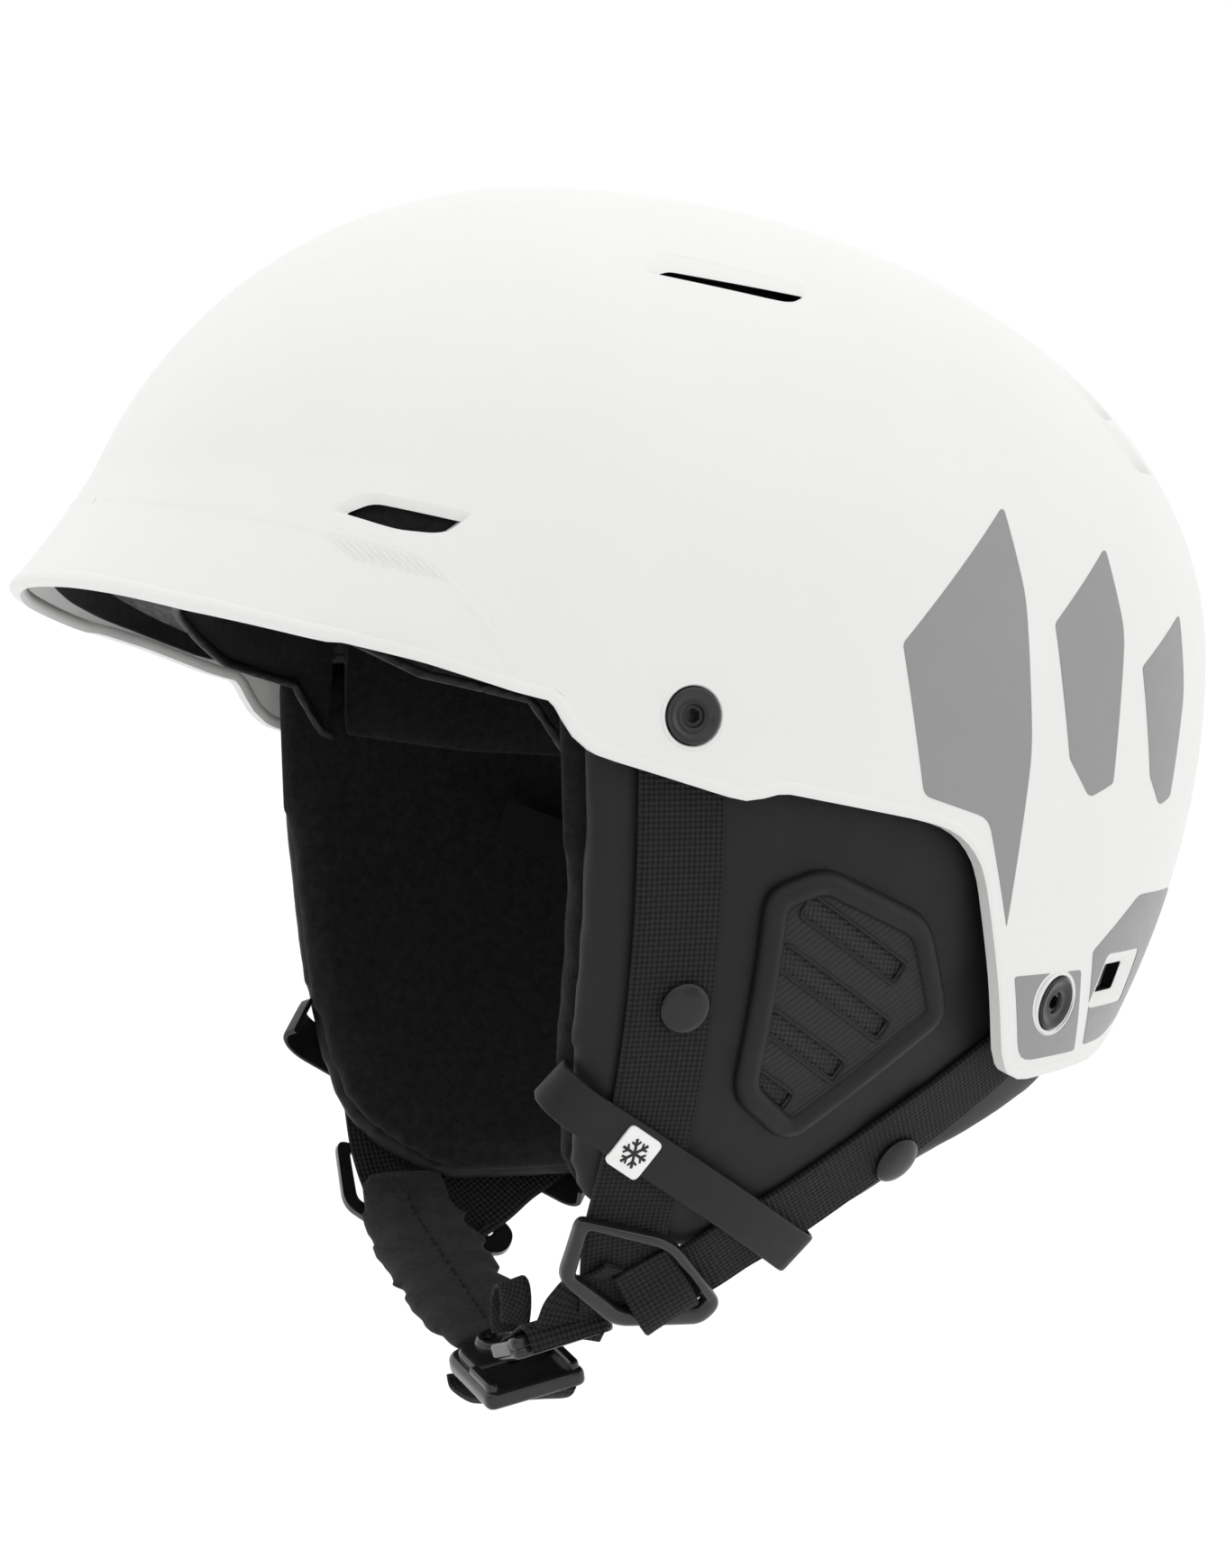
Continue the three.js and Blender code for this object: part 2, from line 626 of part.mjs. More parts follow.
const band = new THREE.Group();
band.position.set(...BAND.centre);
band.rotation.x = (BAND.slope * Math.PI) / 180;
group.add(band);
addPair("fit_arm", fitArm(), "plastic", band);
add("fit_cradle", fitCradle(), "plastic", band);
add("nape_pad", napePad(), "fleece", band);
add("fit_dial", fitDial(), "rubber", band);

add("goggle_clip_anchor", backLayer(13, -43, -34, 0.4, 3.2), "plastic");
add("goggle_clip_strap", backLayer(CLIP.halfWidth, CLIP.bottom, CLIP.top, CLIP.low, CLIP.high), "rubber");
add("goggle_clip_cap", clipSnap(4, 5.6, 6), "plastic");
add("goggle_clip_stud", clipSnap(0.4, 1.5, 5), "plastic");

export default group;
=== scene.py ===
# %% [markdown]
# # A ski helmet, built piece by piece around its CAD frame
# The CAD model says where every piece sits and how it moves. This notebook gives each piece its fine
# surface and its finish: a satin moulded shell, bead foam, fleece pads, woven straps and a chin buckle.

# %% Load the CAD frame
import math

import bpy
import numpy as np
from mathutils import Matrix, Vector


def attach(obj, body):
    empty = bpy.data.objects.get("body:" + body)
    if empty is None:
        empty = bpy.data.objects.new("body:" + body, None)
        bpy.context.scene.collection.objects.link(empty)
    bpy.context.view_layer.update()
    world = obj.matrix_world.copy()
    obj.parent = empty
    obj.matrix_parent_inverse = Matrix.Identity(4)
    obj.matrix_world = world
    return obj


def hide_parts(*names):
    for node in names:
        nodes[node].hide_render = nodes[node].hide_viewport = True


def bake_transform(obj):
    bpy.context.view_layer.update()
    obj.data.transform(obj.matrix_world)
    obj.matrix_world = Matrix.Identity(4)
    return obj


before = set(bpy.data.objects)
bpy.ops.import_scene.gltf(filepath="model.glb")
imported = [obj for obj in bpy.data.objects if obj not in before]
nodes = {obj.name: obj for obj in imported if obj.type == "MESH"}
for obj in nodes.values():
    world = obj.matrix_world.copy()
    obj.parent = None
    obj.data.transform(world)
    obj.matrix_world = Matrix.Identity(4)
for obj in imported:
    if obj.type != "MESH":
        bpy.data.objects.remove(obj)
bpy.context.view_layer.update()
MM = 0.001
bpy.ops.object.select_all(action="DESELECT")

# %% [markdown]
# ## Camera
# A long lens from 1.2 m keeps the helmet's proportions flat, as product pictures do. The camera turns
# round one target point on the middle plane, so the whole view is set by two angles and a distance.

# %% Camera
AZIMUTH = math.radians(67.84)
ELEVATION = math.radians(2.34)
DISTANCE = 1.2
TARGET = Vector((0, 0.02627, -0.04202))

back = Vector(
    (
        math.sin(AZIMUTH) * math.cos(ELEVATION),
        -math.cos(AZIMUTH) * math.cos(ELEVATION),
        math.sin(ELEVATION),
    )
)
bpy.ops.object.camera_add(location=TARGET + back * DISTANCE)
camera = bpy.context.object
camera.rotation_euler = back.to_track_quat("Z", "Y").to_euler()
camera.data.lens = 118.2
camera.data.sensor_width = 36
camera.data.clip_start = 0.05
bpy.context.scene.camera = camera
print("camera at", [round(a, 3) for a in camera.location])

# %% [markdown]
# ## Studio
# White helmets are photographed in a bright tent: light comes from everywhere, and one large soft panel
# from above and behind gives the shell its faint shading. The floor is a pale sheet. Grey cards beside the
# lens, called flags, darken what the glossy black pieces reflect, so their edges stand out.

# %% Floor, panels and surrounding light
FLOOR_HEIGHT = -0.32


def light_panel(name, place, aim, size, watts):
    bpy.ops.object.light_add(type="AREA", location=place)
    panel = bpy.context.object
    panel.name = name
    panel.data.shape = "RECTANGLE"
    panel.data.size, panel.data.size_y = size
    panel.data.energy = watts
    panel.rotation_euler = (Vector(place) - Vector(aim)).to_track_quat("Z", "Y").to_euler()
    return panel


bpy.ops.mesh.primitive_plane_add(size=24, location=(0, 0, FLOOR_HEIGHT))
floor = bpy.context.object
floor.name = "floor"

light_panel("roof_panel", (0.1, -0.1, 1.3), (0, 0, 0), (1.6, 1.6), 2.2)
light_panel("front_panel", (0.9, -1.3, 0.5), (0, 0, -0.05), (0.9, 1.2), 0.7)
light_panel("rear_panel", (1.0, 1.2, 0.35), (0.05, 0.05, -0.05), (0.6, 1.1), 1.6)
light_panel("low_panel", (1.2, -0.5, -0.2), (0.05, 0, -0.15), (0.5, 0.3), 0.25)

FLAGS = {
    "left_flag": ((0.5, -1.05, 0.05), (0.9, 1.3)),
    "right_flag": ((1.15, 0.75, 0.0), (0.9, 1.2)),
    "lens_flag": ((1.28, -0.5, -0.02), (0.5, 0.7)),
}
flag_cloth = bpy.data.materials.new("flag_cloth")
flag_cloth.use_nodes = True
flag_cloth.node_tree.nodes["Principled BSDF"].inputs["Base Color"].default_value = (0.62, 0.62, 0.62, 1)
for name, (place, size) in FLAGS.items():
    bpy.ops.mesh.primitive_plane_add(size=1, location=place)
    flag = bpy.context.object
    flag.name = name
    flag.scale = (*size, 1)
    flag.rotation_euler = Vector(place).to_track_quat("Z", "Y").to_euler()
    flag.data.materials.append(flag_cloth)
    flag.visible_camera = False

world = bpy.data.worlds.new("tent")
bpy.context.scene.world = world
world.use_nodes = True
world.node_tree.nodes["Background"].inputs["Color"].default_value = (1, 1, 1, 1)
world.node_tree.nodes["Background"].inputs["Strength"].default_value = 1.12
bpy.context.scene.view_settings.view_transform = "Standard"

# %% [markdown]
# ## Finishes
# Each finish is one small node tree. `node` adds a node and wires it in one call. Bead foam, fleece and
# plastic grain are read from Object coordinates, so they stay put when a piece moves. Woven straps carry
# their own measuring attribute, so the weave follows the strap round its bends.

# %% Node helpers
def node(tree, kind, settings=None, **inputs):
    """Adds a node. Inputs are given by name (in0 is the first socket), as a value or another socket."""
    made = tree.nodes.new("ShaderNode" + kind)
    for key, value in (settings or {}).items():
        setattr(made, key, value)
    for key, value in inputs.items():
        numbered = key.startswith("in") and key[2:].isdigit()
        socket = made.inputs[int(key[2:]) if numbered else key.replace("_", " ")]
        if isinstance(value, bpy.types.NodeSocket):
            tree.links.new(value, socket)
        else:
            socket.default_value = value
    return made


def finish(name, **shader):
    """A new material, with the constants of its shader set on the shader's own sockets."""
    made = bpy.data.materials.new(name)
    made.use_nodes = True
    principled = made.node_tree.nodes["Principled BSDF"]
    for key, value in shader.items():
        principled.inputs[key.replace("_", " ")].default_value = value
    return made


def wire(material, **links):
    """Joins sockets to the material's shader."""
    principled = material.node_tree.nodes["Principled BSDF"]
    for key, socket in links.items():
        material.node_tree.links.new(socket, principled.inputs[key.replace("_", " ")])


def places(tree, scale=1.0):
    """Object coordinates, times a scale."""
    where = node(tree, "TexCoord").outputs["Object"]
    return node(tree, "Mapping", in0=where, in3=(scale,) * 3).outputs[0]


def noise(tree, where, size, detail=2.0, roughness=0.5):
    """Noise whose blobs are about size millimetres across."""
    scale = 1 / (size * MM)
    made = node(tree, "TexNoise", Vector=where, Scale=scale, Detail=detail, Roughness=roughness)
    return made.outputs["Fac"]


def ramp(tree, factor, low, high, start=0.0, end=1.0):
    """A blend from one colour or number to another as a factor goes from start to end."""
    made = node(tree, "ValToRGB", in0=factor)
    made.color_ramp.elements[0].position = start
    made.color_ramp.elements[1].position = end
    for element, value in zip(made.color_ramp.elements, (low, high)):
        element.color = (*value, 1) if isinstance(value, tuple) else (value, value, value, 1)
    return made.outputs["Color"]


def bump(tree, height, depth, strength=1.0):
    """A bump of the given depth in millimetres."""
    return node(tree, "Bump", Strength=strength, Distance=depth * MM, Height=height).outputs[0]


def grey(value, tint=(1, 1, 1)):
    return tuple(value * t for t in tint)


# %% [markdown]
# Moulded shells have a satin skin: almost white, with a grain far finer than a millimetre that blurs
# highlights. Handling leaves the gloss a little uneven, so the roughness wanders slowly over the surface.

# %% Moulded plastics and the printed grey
def moulded(name, colour, rough, grain=0.5, depth=0.01, spread=0.06, mottle=0.04, **shader):
    made = finish(name, **shader)
    tree = made.node_tree
    where = places(tree)
    slow = noise(tree, where, 30, 3)
    wear = noise(tree, where, 4, 6, 0.7)
    dark = grey(1 - mottle, colour)
    wire(
        made,
        Base_Color=ramp(tree, slow, dark, colour, 0.3, 0.7),
        Roughness=ramp(tree, wear, max(rough - spread, 0.05), rough + spread, 0.3, 0.7),
        Normal=bump(tree, noise(tree, where, grain, 3), depth),
    )
    return made


shell_white = moulded("shell_white", (0.78, 0.78, 0.765), 0.42, 0.45, 0.008, mottle=0.015)
print_grey = moulded("print_grey", (0.27, 0.27, 0.27), 0.4, 0.45, 0.006)
tag_white = moulded("tag_white", (0.85, 0.85, 0.84), 0.35, 0.4, 0.004, mottle=0.02)
hard_black = moulded("hard_black", (0.013, 0.013, 0.014), 0.22, 0.7, 0.012, mottle=0.25)
snap_black = moulded("snap_black", (0.007, 0.007, 0.007), 0.3, 0.3, 0.003, mottle=0.2, Specular_IOR_Level=0.4)
rubber_black = moulded("rubber_black", (0.007, 0.007, 0.0073), 0.5, 0.4, 0.02, mottle=0.2, Specular_IOR_Level=0.3)
print("moulded finishes:", len(bpy.data.materials))

# %% [markdown]
# Bead foam is thousands of fused beads about 3 mm across. A Voronoi pattern gives each bead its own grey
# and a dark seam, and the distance to the seam makes the beads stand out a little.

# %% Bead foam
bead_foam = finish("bead_foam", Roughness=0.85)
tree = bead_foam.node_tree
where = places(tree)
beads = node(tree, "TexVoronoi", Vector=where, Scale=1 / (3.2 * MM))
seams = node(tree, "TexVoronoi", {"feature": "DISTANCE_TO_EDGE"}, Vector=where, Scale=1 / (3.2 * MM))
bead_grey = ramp(tree, beads.outputs["Color"], grey(0.022), grey(0.075), 0.1, 0.9)
seam = ramp(tree, seams.outputs["Distance"], 0.25, 1.0, 0.0, 0.12)
mix = node(tree, "Mix", {"data_type": "RGBA", "blend_type": "MULTIPLY"}, Factor=1.0, in6=bead_grey, in7=seam)
wire(bead_foam, Base_Color=mix.outputs[2], Normal=bump(tree, seam, 0.35, 0.8))

# %% [markdown]
# Fleece is a short dense pile. Sheen on the shader gives the pale rim that pile has when seen edge-on,
# and two layers of noise make the tufts and the fibres. Softshell is the smooth knit on the outside of
# the ear pads: nearly even, with a fine grid of loops.

# %% Fleece and softshell
def cloth(name, low, high, tuft, fibre, depth, **shader):
    made = finish(name, **shader)
    tree = made.node_tree
    where = places(tree)
    tufts = noise(tree, where, tuft, 4, 0.6)
    fibres = noise(tree, where, fibre, 5, 0.75)
    both = node(tree, "Math", {"operation": "ADD"}, in0=tufts, in1=fibres).outputs[0]
    half = node(tree, "Math", {"operation": "MULTIPLY"}, in0=both, in1=0.5).outputs[0]
    wire(made, Base_Color=ramp(tree, half, low, high, 0.35, 0.68), Normal=bump(tree, half, depth))
    return made


fleece_black = cloth(
    "fleece_black", (0.0035,) * 3, (0.02, 0.018, 0.019), 2.2, 0.5, 0.9, Roughness=1.0, Specular_IOR_Level=0.15, Sheen_Weight=0.07, Sheen_Roughness=0.5
)
sleeve_black = cloth(
    "sleeve_black", (0.006,) * 3, (0.034, 0.031, 0.032), 1.8, 0.45, 0.8, Roughness=1.0, Specular_IOR_Level=0.2, Sheen_Weight=0.1
)
softshell_black = cloth(
    "softshell_black", (0.007,) * 3, (0.011,) * 3, 9, 0.35, 0.05, Roughness=0.55, Specular_IOR_Level=0.26, Sheen_Weight=0.01
)

# %% [markdown]
# Webbing is a plain weave of thick yarns. The strap attribute holds the distance along and across the
# strap in millimetres. Two crossed sine waves turned by 45 degrees give staggered pebbles, one for each
# crossing of the yarns. The pebbles also set the colour: a painted highlight on their tops and painted shade between
# them.

# %% Woven straps and knitted mesh
def woven(name, pitch, low, high, depth, rough, angle=45):
    made = finish(name, Roughness=rough, Specular_IOR_Level=0.2, Sheen_Weight=0.01)
    tree = made.node_tree
    strap = node(tree, "Attribute", {"attribute_name": "strap"}).outputs["Vector"]
    turn = node(tree, "Mapping", in0=strap, in2=(0, 0, math.radians(angle)), in3=(2 * math.pi / pitch,) * 3)
    parts = node(tree, "SeparateXYZ", in0=turn.outputs[0])
    wave = [node(tree, "Math", {"operation": "SINE"}, in0=parts.outputs[i]).outputs[0] for i in (0, 1)]
    pebble = node(tree, "Math", {"operation": "MULTIPLY"}, in0=wave[0], in1=wave[1]).outputs[0]
    lift = node(tree, "Math", {"operation": "MULTIPLY_ADD"}, in0=pebble, in1=0.5, in2=0.5).outputs[0]
    fuzz = noise(tree, places(tree), 0.35, 4, 0.7)
    weave_relief_and_painted_light = node(tree, "Math", {"operation": "MULTIPLY_ADD"}, in0=fuzz, in1=0.35, in2=lift).outputs[0]
    # The colour follows the relief: the pebble tops get a painted highlight, and the gaps between them get painted
    # shade.
    wire(made, Base_Color=ramp(tree, weave_relief_and_painted_light, low, high, 0.25, 1.15), Normal=bump(tree, weave_relief_and_painted_light, depth))
    return made


# For each strap, the dark grey is the painted shade between the pebbles and the light grey is their painted highlight.
webbing_black = woven("webbing_black", 1.7, grey(0.001), grey(0.02), 0.45, 0.7)
ribbon_black = woven("ribbon_black", 1.3, grey(0.008), grey(0.026), 0.2, 0.7, 20)


def knitted(name, pitch, slope, low, high, depth, both=True):
    """A mesh or ribs on a side panel, at a slope in the side view."""
    made = finish(name, Roughness=0.7)
    tree = made.node_tree
    where = node(tree, "TexCoord").outputs["Object"]
    turn = node(tree, "Mapping", in0=where, in2=(math.radians(-slope), 0, 0), in3=(2 * math.pi / (pitch * MM),) * 3)
    parts = node(tree, "SeparateXYZ", in0=turn.outputs[0])
    lift = node(tree, "Math", {"operation": "SINE"}, in0=parts.outputs["Z"]).outputs[0]
    if both:
        cross = node(tree, "Math", {"operation": "SINE"}, in0=parts.outputs["Y"]).outputs[0]
        lift = node(tree, "Math", {"operation": "MULTIPLY"}, in0=lift, in1=cross).outputs[0]
    half = node(tree, "Math", {"operation": "MULTIPLY_ADD"}, in0=lift, in1=0.5, in2=0.5).outputs[0]
    fine = noise(tree, places(tree), 0.4, 3)
    knit_relief_and_painted_light = node(tree, "Math", {"operation": "MULTIPLY_ADD"}, in0=fine, in1=0.2, in2=half).outputs[0]
    # The colour follows the relief: raised loops and ribs get a painted highlight, and grooves and holes get painted
    # shade.
    wire(made, Base_Color=ramp(tree, knit_relief_and_painted_light, low, high, 0.2, 1.0), Normal=bump(tree, knit_relief_and_painted_light, depth))
    return made


# The dark grey is painted shade in the grooves and holes, and the light grey is painted highlight on the raised ribs
# and loops.
mesh_black = knitted("mesh_black", 1.7, 40, grey(0.001), grey(0.024), 0.5)
ribbed_rubber = knitted("ribbed_rubber", 1.35, 35, grey(0.003), grey(0.01), 0.22, both=False)

# %% [markdown]
# The floor is matte and close to white, with a trace of paper grain.

# %% Floor finish
floor.data.materials.append(moulded("pale_floor", (0.97, 0.97, 0.97), 0.9, 2.0, 0.05, mottle=0.005))

# %% [markdown]
# ## The shell's surface
# One formula gives the whole dome, so every lip, print and rivet can be laid exactly on it. Each level
# section is a superellipse. Its front, rear and half width change with height, and the brim flares out.
# Lengths in these formulas are millimetres, and become metres when a piece's vertices are placed.

# %% Surface formulas
SHELL = {"top": 95.4, "belt": -13.3, "front": 102.7, "rear": 169.5, "half": 112.0}
ARCH = {"front": 1.91, "rear": 2.03, "half": 2.34}
TUCK = {"front": 0.02, "rear": 0.245, "half": 0.1}
TUCK_DEPTH = 110.0
PLAN_POWER = 2.15
BRIM = {"flare": 6.3, "start": 32.3, "depth": 18.4, "power": 1.6}
WALL = 3.0
FOAM_OUT = {"front": 4.4, "rear": 4.4, "half": 4.4, "top": 4.4}
FOAM_IN = {"front": 24.0, "rear": 34.0, "half": 26.0, "top": 26.0}


def reach(side, z, inset=0.0, brim=True):
    """How far the section at height z goes to the front, to the rear, or to each side (half)."""
    depth = inset if isinstance(inset, dict) else dict.fromkeys(("front", "rear", "half", "top"), inset)
    top = SHELL["top"] - depth["top"]
    up = np.clip((z - SHELL["belt"]) / (top - SHELL["belt"]), 0, 1)
    down = np.maximum((SHELL["belt"] - z) / TUCK_DEPTH, 0) ** 2
    size = (SHELL[side] * (1 - TUCK[side] * down) - depth[side]) * (1 - up ** ARCH[side]) ** (1 / ARCH[side])
    if brim and side == "front":
        size = size + BRIM["flare"] * np.clip((BRIM["start"] - z) / BRIM["depth"], 0, 2) ** BRIM["power"]
    return size


def side_x(y, z, inset=0.0):
    """The shell's half width at a place in the side view."""
    length = np.where(y < 0, reach("front", z, inset), reach("rear", z, inset))
    share = np.clip(np.abs(y) / np.maximum(length, 1e-6), 0, 1)
    return reach("half", z, inset) * (1 - share**PLAN_POWER) ** (1 / PLAN_POWER)


def rear_y(x, z):
    share = np.clip(np.abs(x) / reach("half", z), 0, 1)
    return reach("rear", z) * (1 - share**PLAN_POWER) ** (1 / PLAN_POWER)


def unit(vectors):
    return vectors / np.maximum(np.linalg.norm(vectors, axis=-1, keepdims=True), 1e-9)


def shell_level(x, y, z):
    length = np.where(y < 0, reach("front", z), reach("rear", z))
    return (np.abs(x) / reach("half", z)) ** PLAN_POWER + (np.abs(y) / length) ** PLAN_POWER


def shell_normal(x, y, z, step=0.4):
    slopes = [
        shell_level(x + step, y, z) - shell_level(x - step, y, z),
        shell_level(x, y + step, z) - shell_level(x, y - step, z),
        shell_level(x, y, z + step) - shell_level(x, y, z - step),
    ]
    return unit(np.stack(slopes, -1))


def on_shell(y, z, t):
    """A place on the left side of the shell, at height t above its outer surface."""
    y, z, t = np.broadcast_arrays(np.asarray(y, float), z, t)
    x = side_x(y, z)
    return np.stack([x, y, z], -1) + shell_normal(x, y, z) * t[..., None]


def plan_point(angle, z, inset, brim):
    """A place on a level section: angle 0 is the front, 90 degrees the left side, 180 the rear."""
    c, s = np.cos(angle), np.sin(angle)
    length = np.where(c > 0, reach("front", z, inset, brim), reach("rear", z, inset, brim))
    x = np.sign(s) * np.abs(s) ** (2 / PLAN_POWER) * reach("half", z, inset, brim)
    y = -np.sign(c) * np.abs(c) ** (2 / PLAN_POWER) * length
    return np.stack(np.broadcast_arrays(x, y, z), -1)


EAR = {"inset": 6.0, "turn_start": -45.0, "turn_depth": 75.0, "turn_in": 12.0}


def ear_x(y, z):
    turn = np.maximum((EAR["turn_start"] - z) / EAR["turn_depth"], 0) ** 2
    return side_x(y, z) - EAR["inset"] - EAR["turn_in"] * turn


def on_ear(y, z, t, step=1.0):
    """A place on the ear skin, the curved sheet that the left ear pad lies under, at height t above it."""
    y, z, t = np.broadcast_arrays(np.asarray(y, float), z, t)
    slope_y = (ear_x(y + step, z) - ear_x(y - step, z)) / (2 * step)
    slope_z = (ear_x(y, z + step) - ear_x(y, z - step)) / (2 * step)
    normal = unit(np.stack([np.ones_like(slope_y), -slope_y, -slope_z], -1))
    return np.stack([ear_x(y, z), y, z], -1) + normal * t[..., None]


def on_back(x, z, t, step=1.0):
    """A place on the back of the shell, at height t above it."""
    x, z, t = np.broadcast_arrays(np.asarray(x, float), z, t)
    slope_x = (rear_y(x + step, z) - rear_y(x - step, z)) / (2 * step)
    slope_z = (rear_y(x, z + step) - rear_y(x, z - step)) / (2 * step)
    normal = unit(np.stack([-slope_x, np.ones_like(slope_x), -slope_z], -1))
    return np.stack([x, rear_y(x, z), z], -1) + normal * t[..., None]


print("shell half width at the ear:", round(float(side_x(np.array(2.0), np.array(-25.0))), 1), "mm")

# %% [markdown]
# ## Tools for shaping
# Nearly every piece here is a closed skin, so it starts as a UV sphere, a torus or a grid added by an
# operator. Their vertices come in rings, and each ring is then laid where the piece needs it. A table of
# places, one row for each ring, describes the whole piece.

# %% Primitives laid in place
def only(piece):
    bpy.ops.object.select_all(action="DESELECT")
    piece.select_set(True)
    bpy.context.view_layer.objects.active = piece


def edit(piece, *steps, mode="VERT"):
    """Runs edit mode operators on all of a piece's mesh. A step is (operator, settings)."""
    only(piece)
    bpy.ops.object.mode_set(mode="EDIT")
    bpy.ops.mesh.select_mode(type=mode)
    bpy.ops.mesh.select_all(action="SELECT")
    for operator, settings in steps:
        operator(**settings)
    bpy.ops.object.mode_set(mode="OBJECT")


def outward(piece):
    edit(piece, (bpy.ops.mesh.normals_make_consistent, {"inside": False}))


def vertices(piece):
    flat = np.empty(len(piece.data.vertices) * 3)
    piece.data.vertices.foreach_get("co", flat)
    return flat.reshape(-1, 3)


def place_vertices(piece, millimetres):
    piece.data.vertices.foreach_set("co", (np.asarray(millimetres) * MM).ravel())
    piece.data.update()


def dress(piece, name, material, angle=40):
    piece.name = name
    piece.data.name = name
    piece.data.materials.clear()
    piece.data.materials.append(material)
    only(piece)
    bpy.ops.object.shade_smooth_by_angle(angle=math.radians(angle))
    return piece


def measure(piece, strap):
    """Stores the strap attribute: millimetres along and across, for the weave."""
    made = piece.data.attributes.new("strap", "FLOAT_VECTOR", "POINT")
    made.data.foreach_set("vector", np.ascontiguousarray(strap, dtype=np.float32).ravel())


def skin(name, table, material, strap=None, angle=40):
    """A closed body from a table of rings. The first and last rows are its poles."""
    rings, around = table.shape[0] - 1, table.shape[1]
    bpy.ops.mesh.primitive_uv_sphere_add(segments=around, ring_count=rings, radius=1)
    piece = bpy.context.object
    co = vertices(piece)
    ring = np.rint(np.arccos(np.clip(co[:, 2], -1, 1)) / math.pi * rings).astype(int)
    column = np.rint((np.arctan2(co[:, 1], co[:, 0]) / (2 * math.pi)) * around).astype(int) % around
    place_vertices(piece, table[ring, column])
    if strap is not None:
        measure(piece, strap[ring, column])
    outward(piece)
    return dress(piece, name, material, angle)


def loop(name, table, material, strap=None, angle=40):
    """A closed ring-shaped body: row i is the section at step i of the way round."""
    around, section = table.shape[:2]
    bpy.ops.mesh.primitive_torus_add(
        major_segments=around, minor_segments=section, major_radius=1, minor_radius=0.25
    )
    piece = bpy.context.object
    co = vertices(piece)
    step = np.rint(np.arctan2(co[:, 1], co[:, 0]) / (2 * math.pi) * around).astype(int) % around
    out = np.hypot(co[:, 0], co[:, 1]) - 1
    row = np.rint(np.arctan2(co[:, 2], out) / (2 * math.pi) * section).astype(int) % section
    place_vertices(piece, table[step, row])
    if strap is not None:
        measure(piece, strap[step, row])
    outward(piece)
    return dress(piece, name, material, angle)


def modify(piece, kind, **settings):
    """Adds a modifier and applies it."""
    only(piece)
    made = piece.modifiers.new(kind.lower(), kind)
    for key, value in settings.items():
        setattr(made, key, value)
    bpy.ops.object.modifier_apply(modifier=made.name)
    return piece


def boolean(piece, cutter, operation="DIFFERENCE"):
    modify(piece, "BOOLEAN", object=cutter, operation=operation, solver="EXACT")
    bpy.data.objects.remove(cutter)
    return piece


def other_side(piece):
    """The right side's copy of a left piece, with a mesh of its own, turned outwards again."""
    only(piece)
    bpy.ops.object.duplicate(linked=False)
    copy = bpy.context.object
    copy.data.transform(Matrix.Scale(-1, 4, (1, 0, 0)))
    copy.data.flip_normals()
    copy.name = piece.name.replace("_left", "_right")
    copy.data.name = copy.name
    return copy


def join(name, pieces):
    bpy.ops.object.select_all(action="DESELECT")
    for piece in pieces:
        piece.select_set(True)
    bpy.context.view_layer.objects.active = pieces[0]
    bpy.ops.object.join()
    pieces[0].name = name
    pieces[0].data.name = name
    return pieces[0]


def put(piece, body, slot, *replaced):
    """Says which body a piece moves with, and hides the CAD nodes it stands for. The slot argument is not used."""
    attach(piece, body)
    if replaced:
        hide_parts(*replaced)
    return piece


def put_pair(piece, body, slot, *replaced):
    """Puts a left piece and its mirrored copy."""
    copy = other_side(piece)
    put(piece, body, slot, *replaced)
    put(copy, body, slot, *[name.replace("_left", "_right") for name in replaced])
    return copy


# %% [markdown]
# Outlines are drawn in the side view as corners, each with its own rounding. Sampling gives every corner
# and edge the same number of points, so two outlines with equal corners can be lofted into each other.

# %% Outlines and layers
def outline(corners, arc=4, edge=5):
    """Points round a closed outline. A corner is (y, z) or (y, z, rounding)."""
    places_of = np.array([c[:2] for c in corners], float)
    cuts = [c[2] if len(c) > 2 else 0.4 for c in corners]
    count = len(corners)
    starts = [p + unit(places_of[i - 1] - p) * cuts[i] for i, p in enumerate(places_of)]
    ends = [p + unit(places_of[(i + 1) % count] - p) * cuts[i] for i, p in enumerate(places_of)]
    points = []
    for i, corner in enumerate(places_of):
        for t in np.linspace(0, 1, arc + 1):
            points.append((1 - t) ** 2 * starts[i] + 2 * t * (1 - t) * corner + t * t * ends[i])
        for t in np.linspace(0, 1, edge + 2)[1:-1]:
            points.append(ends[i] * (1 - t) + starts[(i + 1) % count] * t)
    return np.array(points)


def grown(points, by):
    """An outline moved outwards (negative: inwards) along its own normals."""
    tangent = unit(np.roll(points, -1, 0) - np.roll(points, 1, 0))
    normal = np.stack([tangent[:, 1], -tangent[:, 0]], -1)
    area = np.sum(points[:, 0] * np.roll(points[:, 1], -1) - np.roll(points[:, 0], -1) * points[:, 1])
    return points + normal * by * math.copysign(1, area)


def layer_table(points, rings, surface, centre=None):
    """Rings of a flat piece laid on a surface. A ring is (share of the size, growth in mm, height)."""
    middle = points.mean(0) if centre is None else np.array(centre, float)
    table = []
    for share, growth, height in rings:
        ring = middle + (grown(points, growth) - middle) * share
        table.append(surface(ring[:, 0], ring[:, 1], height))
    table = np.array(table)
    table[0] = table[0].mean(0)
    table[-1] = table[-1].mean(0)
    return table


def plate_rings(low, high, edge, fill=8, crown=0.0):
    """Rings of a plate from its underside to its top, with a rounded upper edge and a crowned top."""
    shares = np.linspace(0, 1, fill + 1)[:-1]
    under = [(s, -edge, low) for s in shares]
    side = [(1, 0, low), (1, 0, high - edge)]
    corner = [
        (1, -edge * (1 - math.cos(a)), high - edge + edge * math.sin(a)) for a in np.radians((30, 60, 90))
    ]
    over = [(s, -edge, high + crown * (1 - s * s)) for s in shares[::-1]]
    return under + side + corner + over


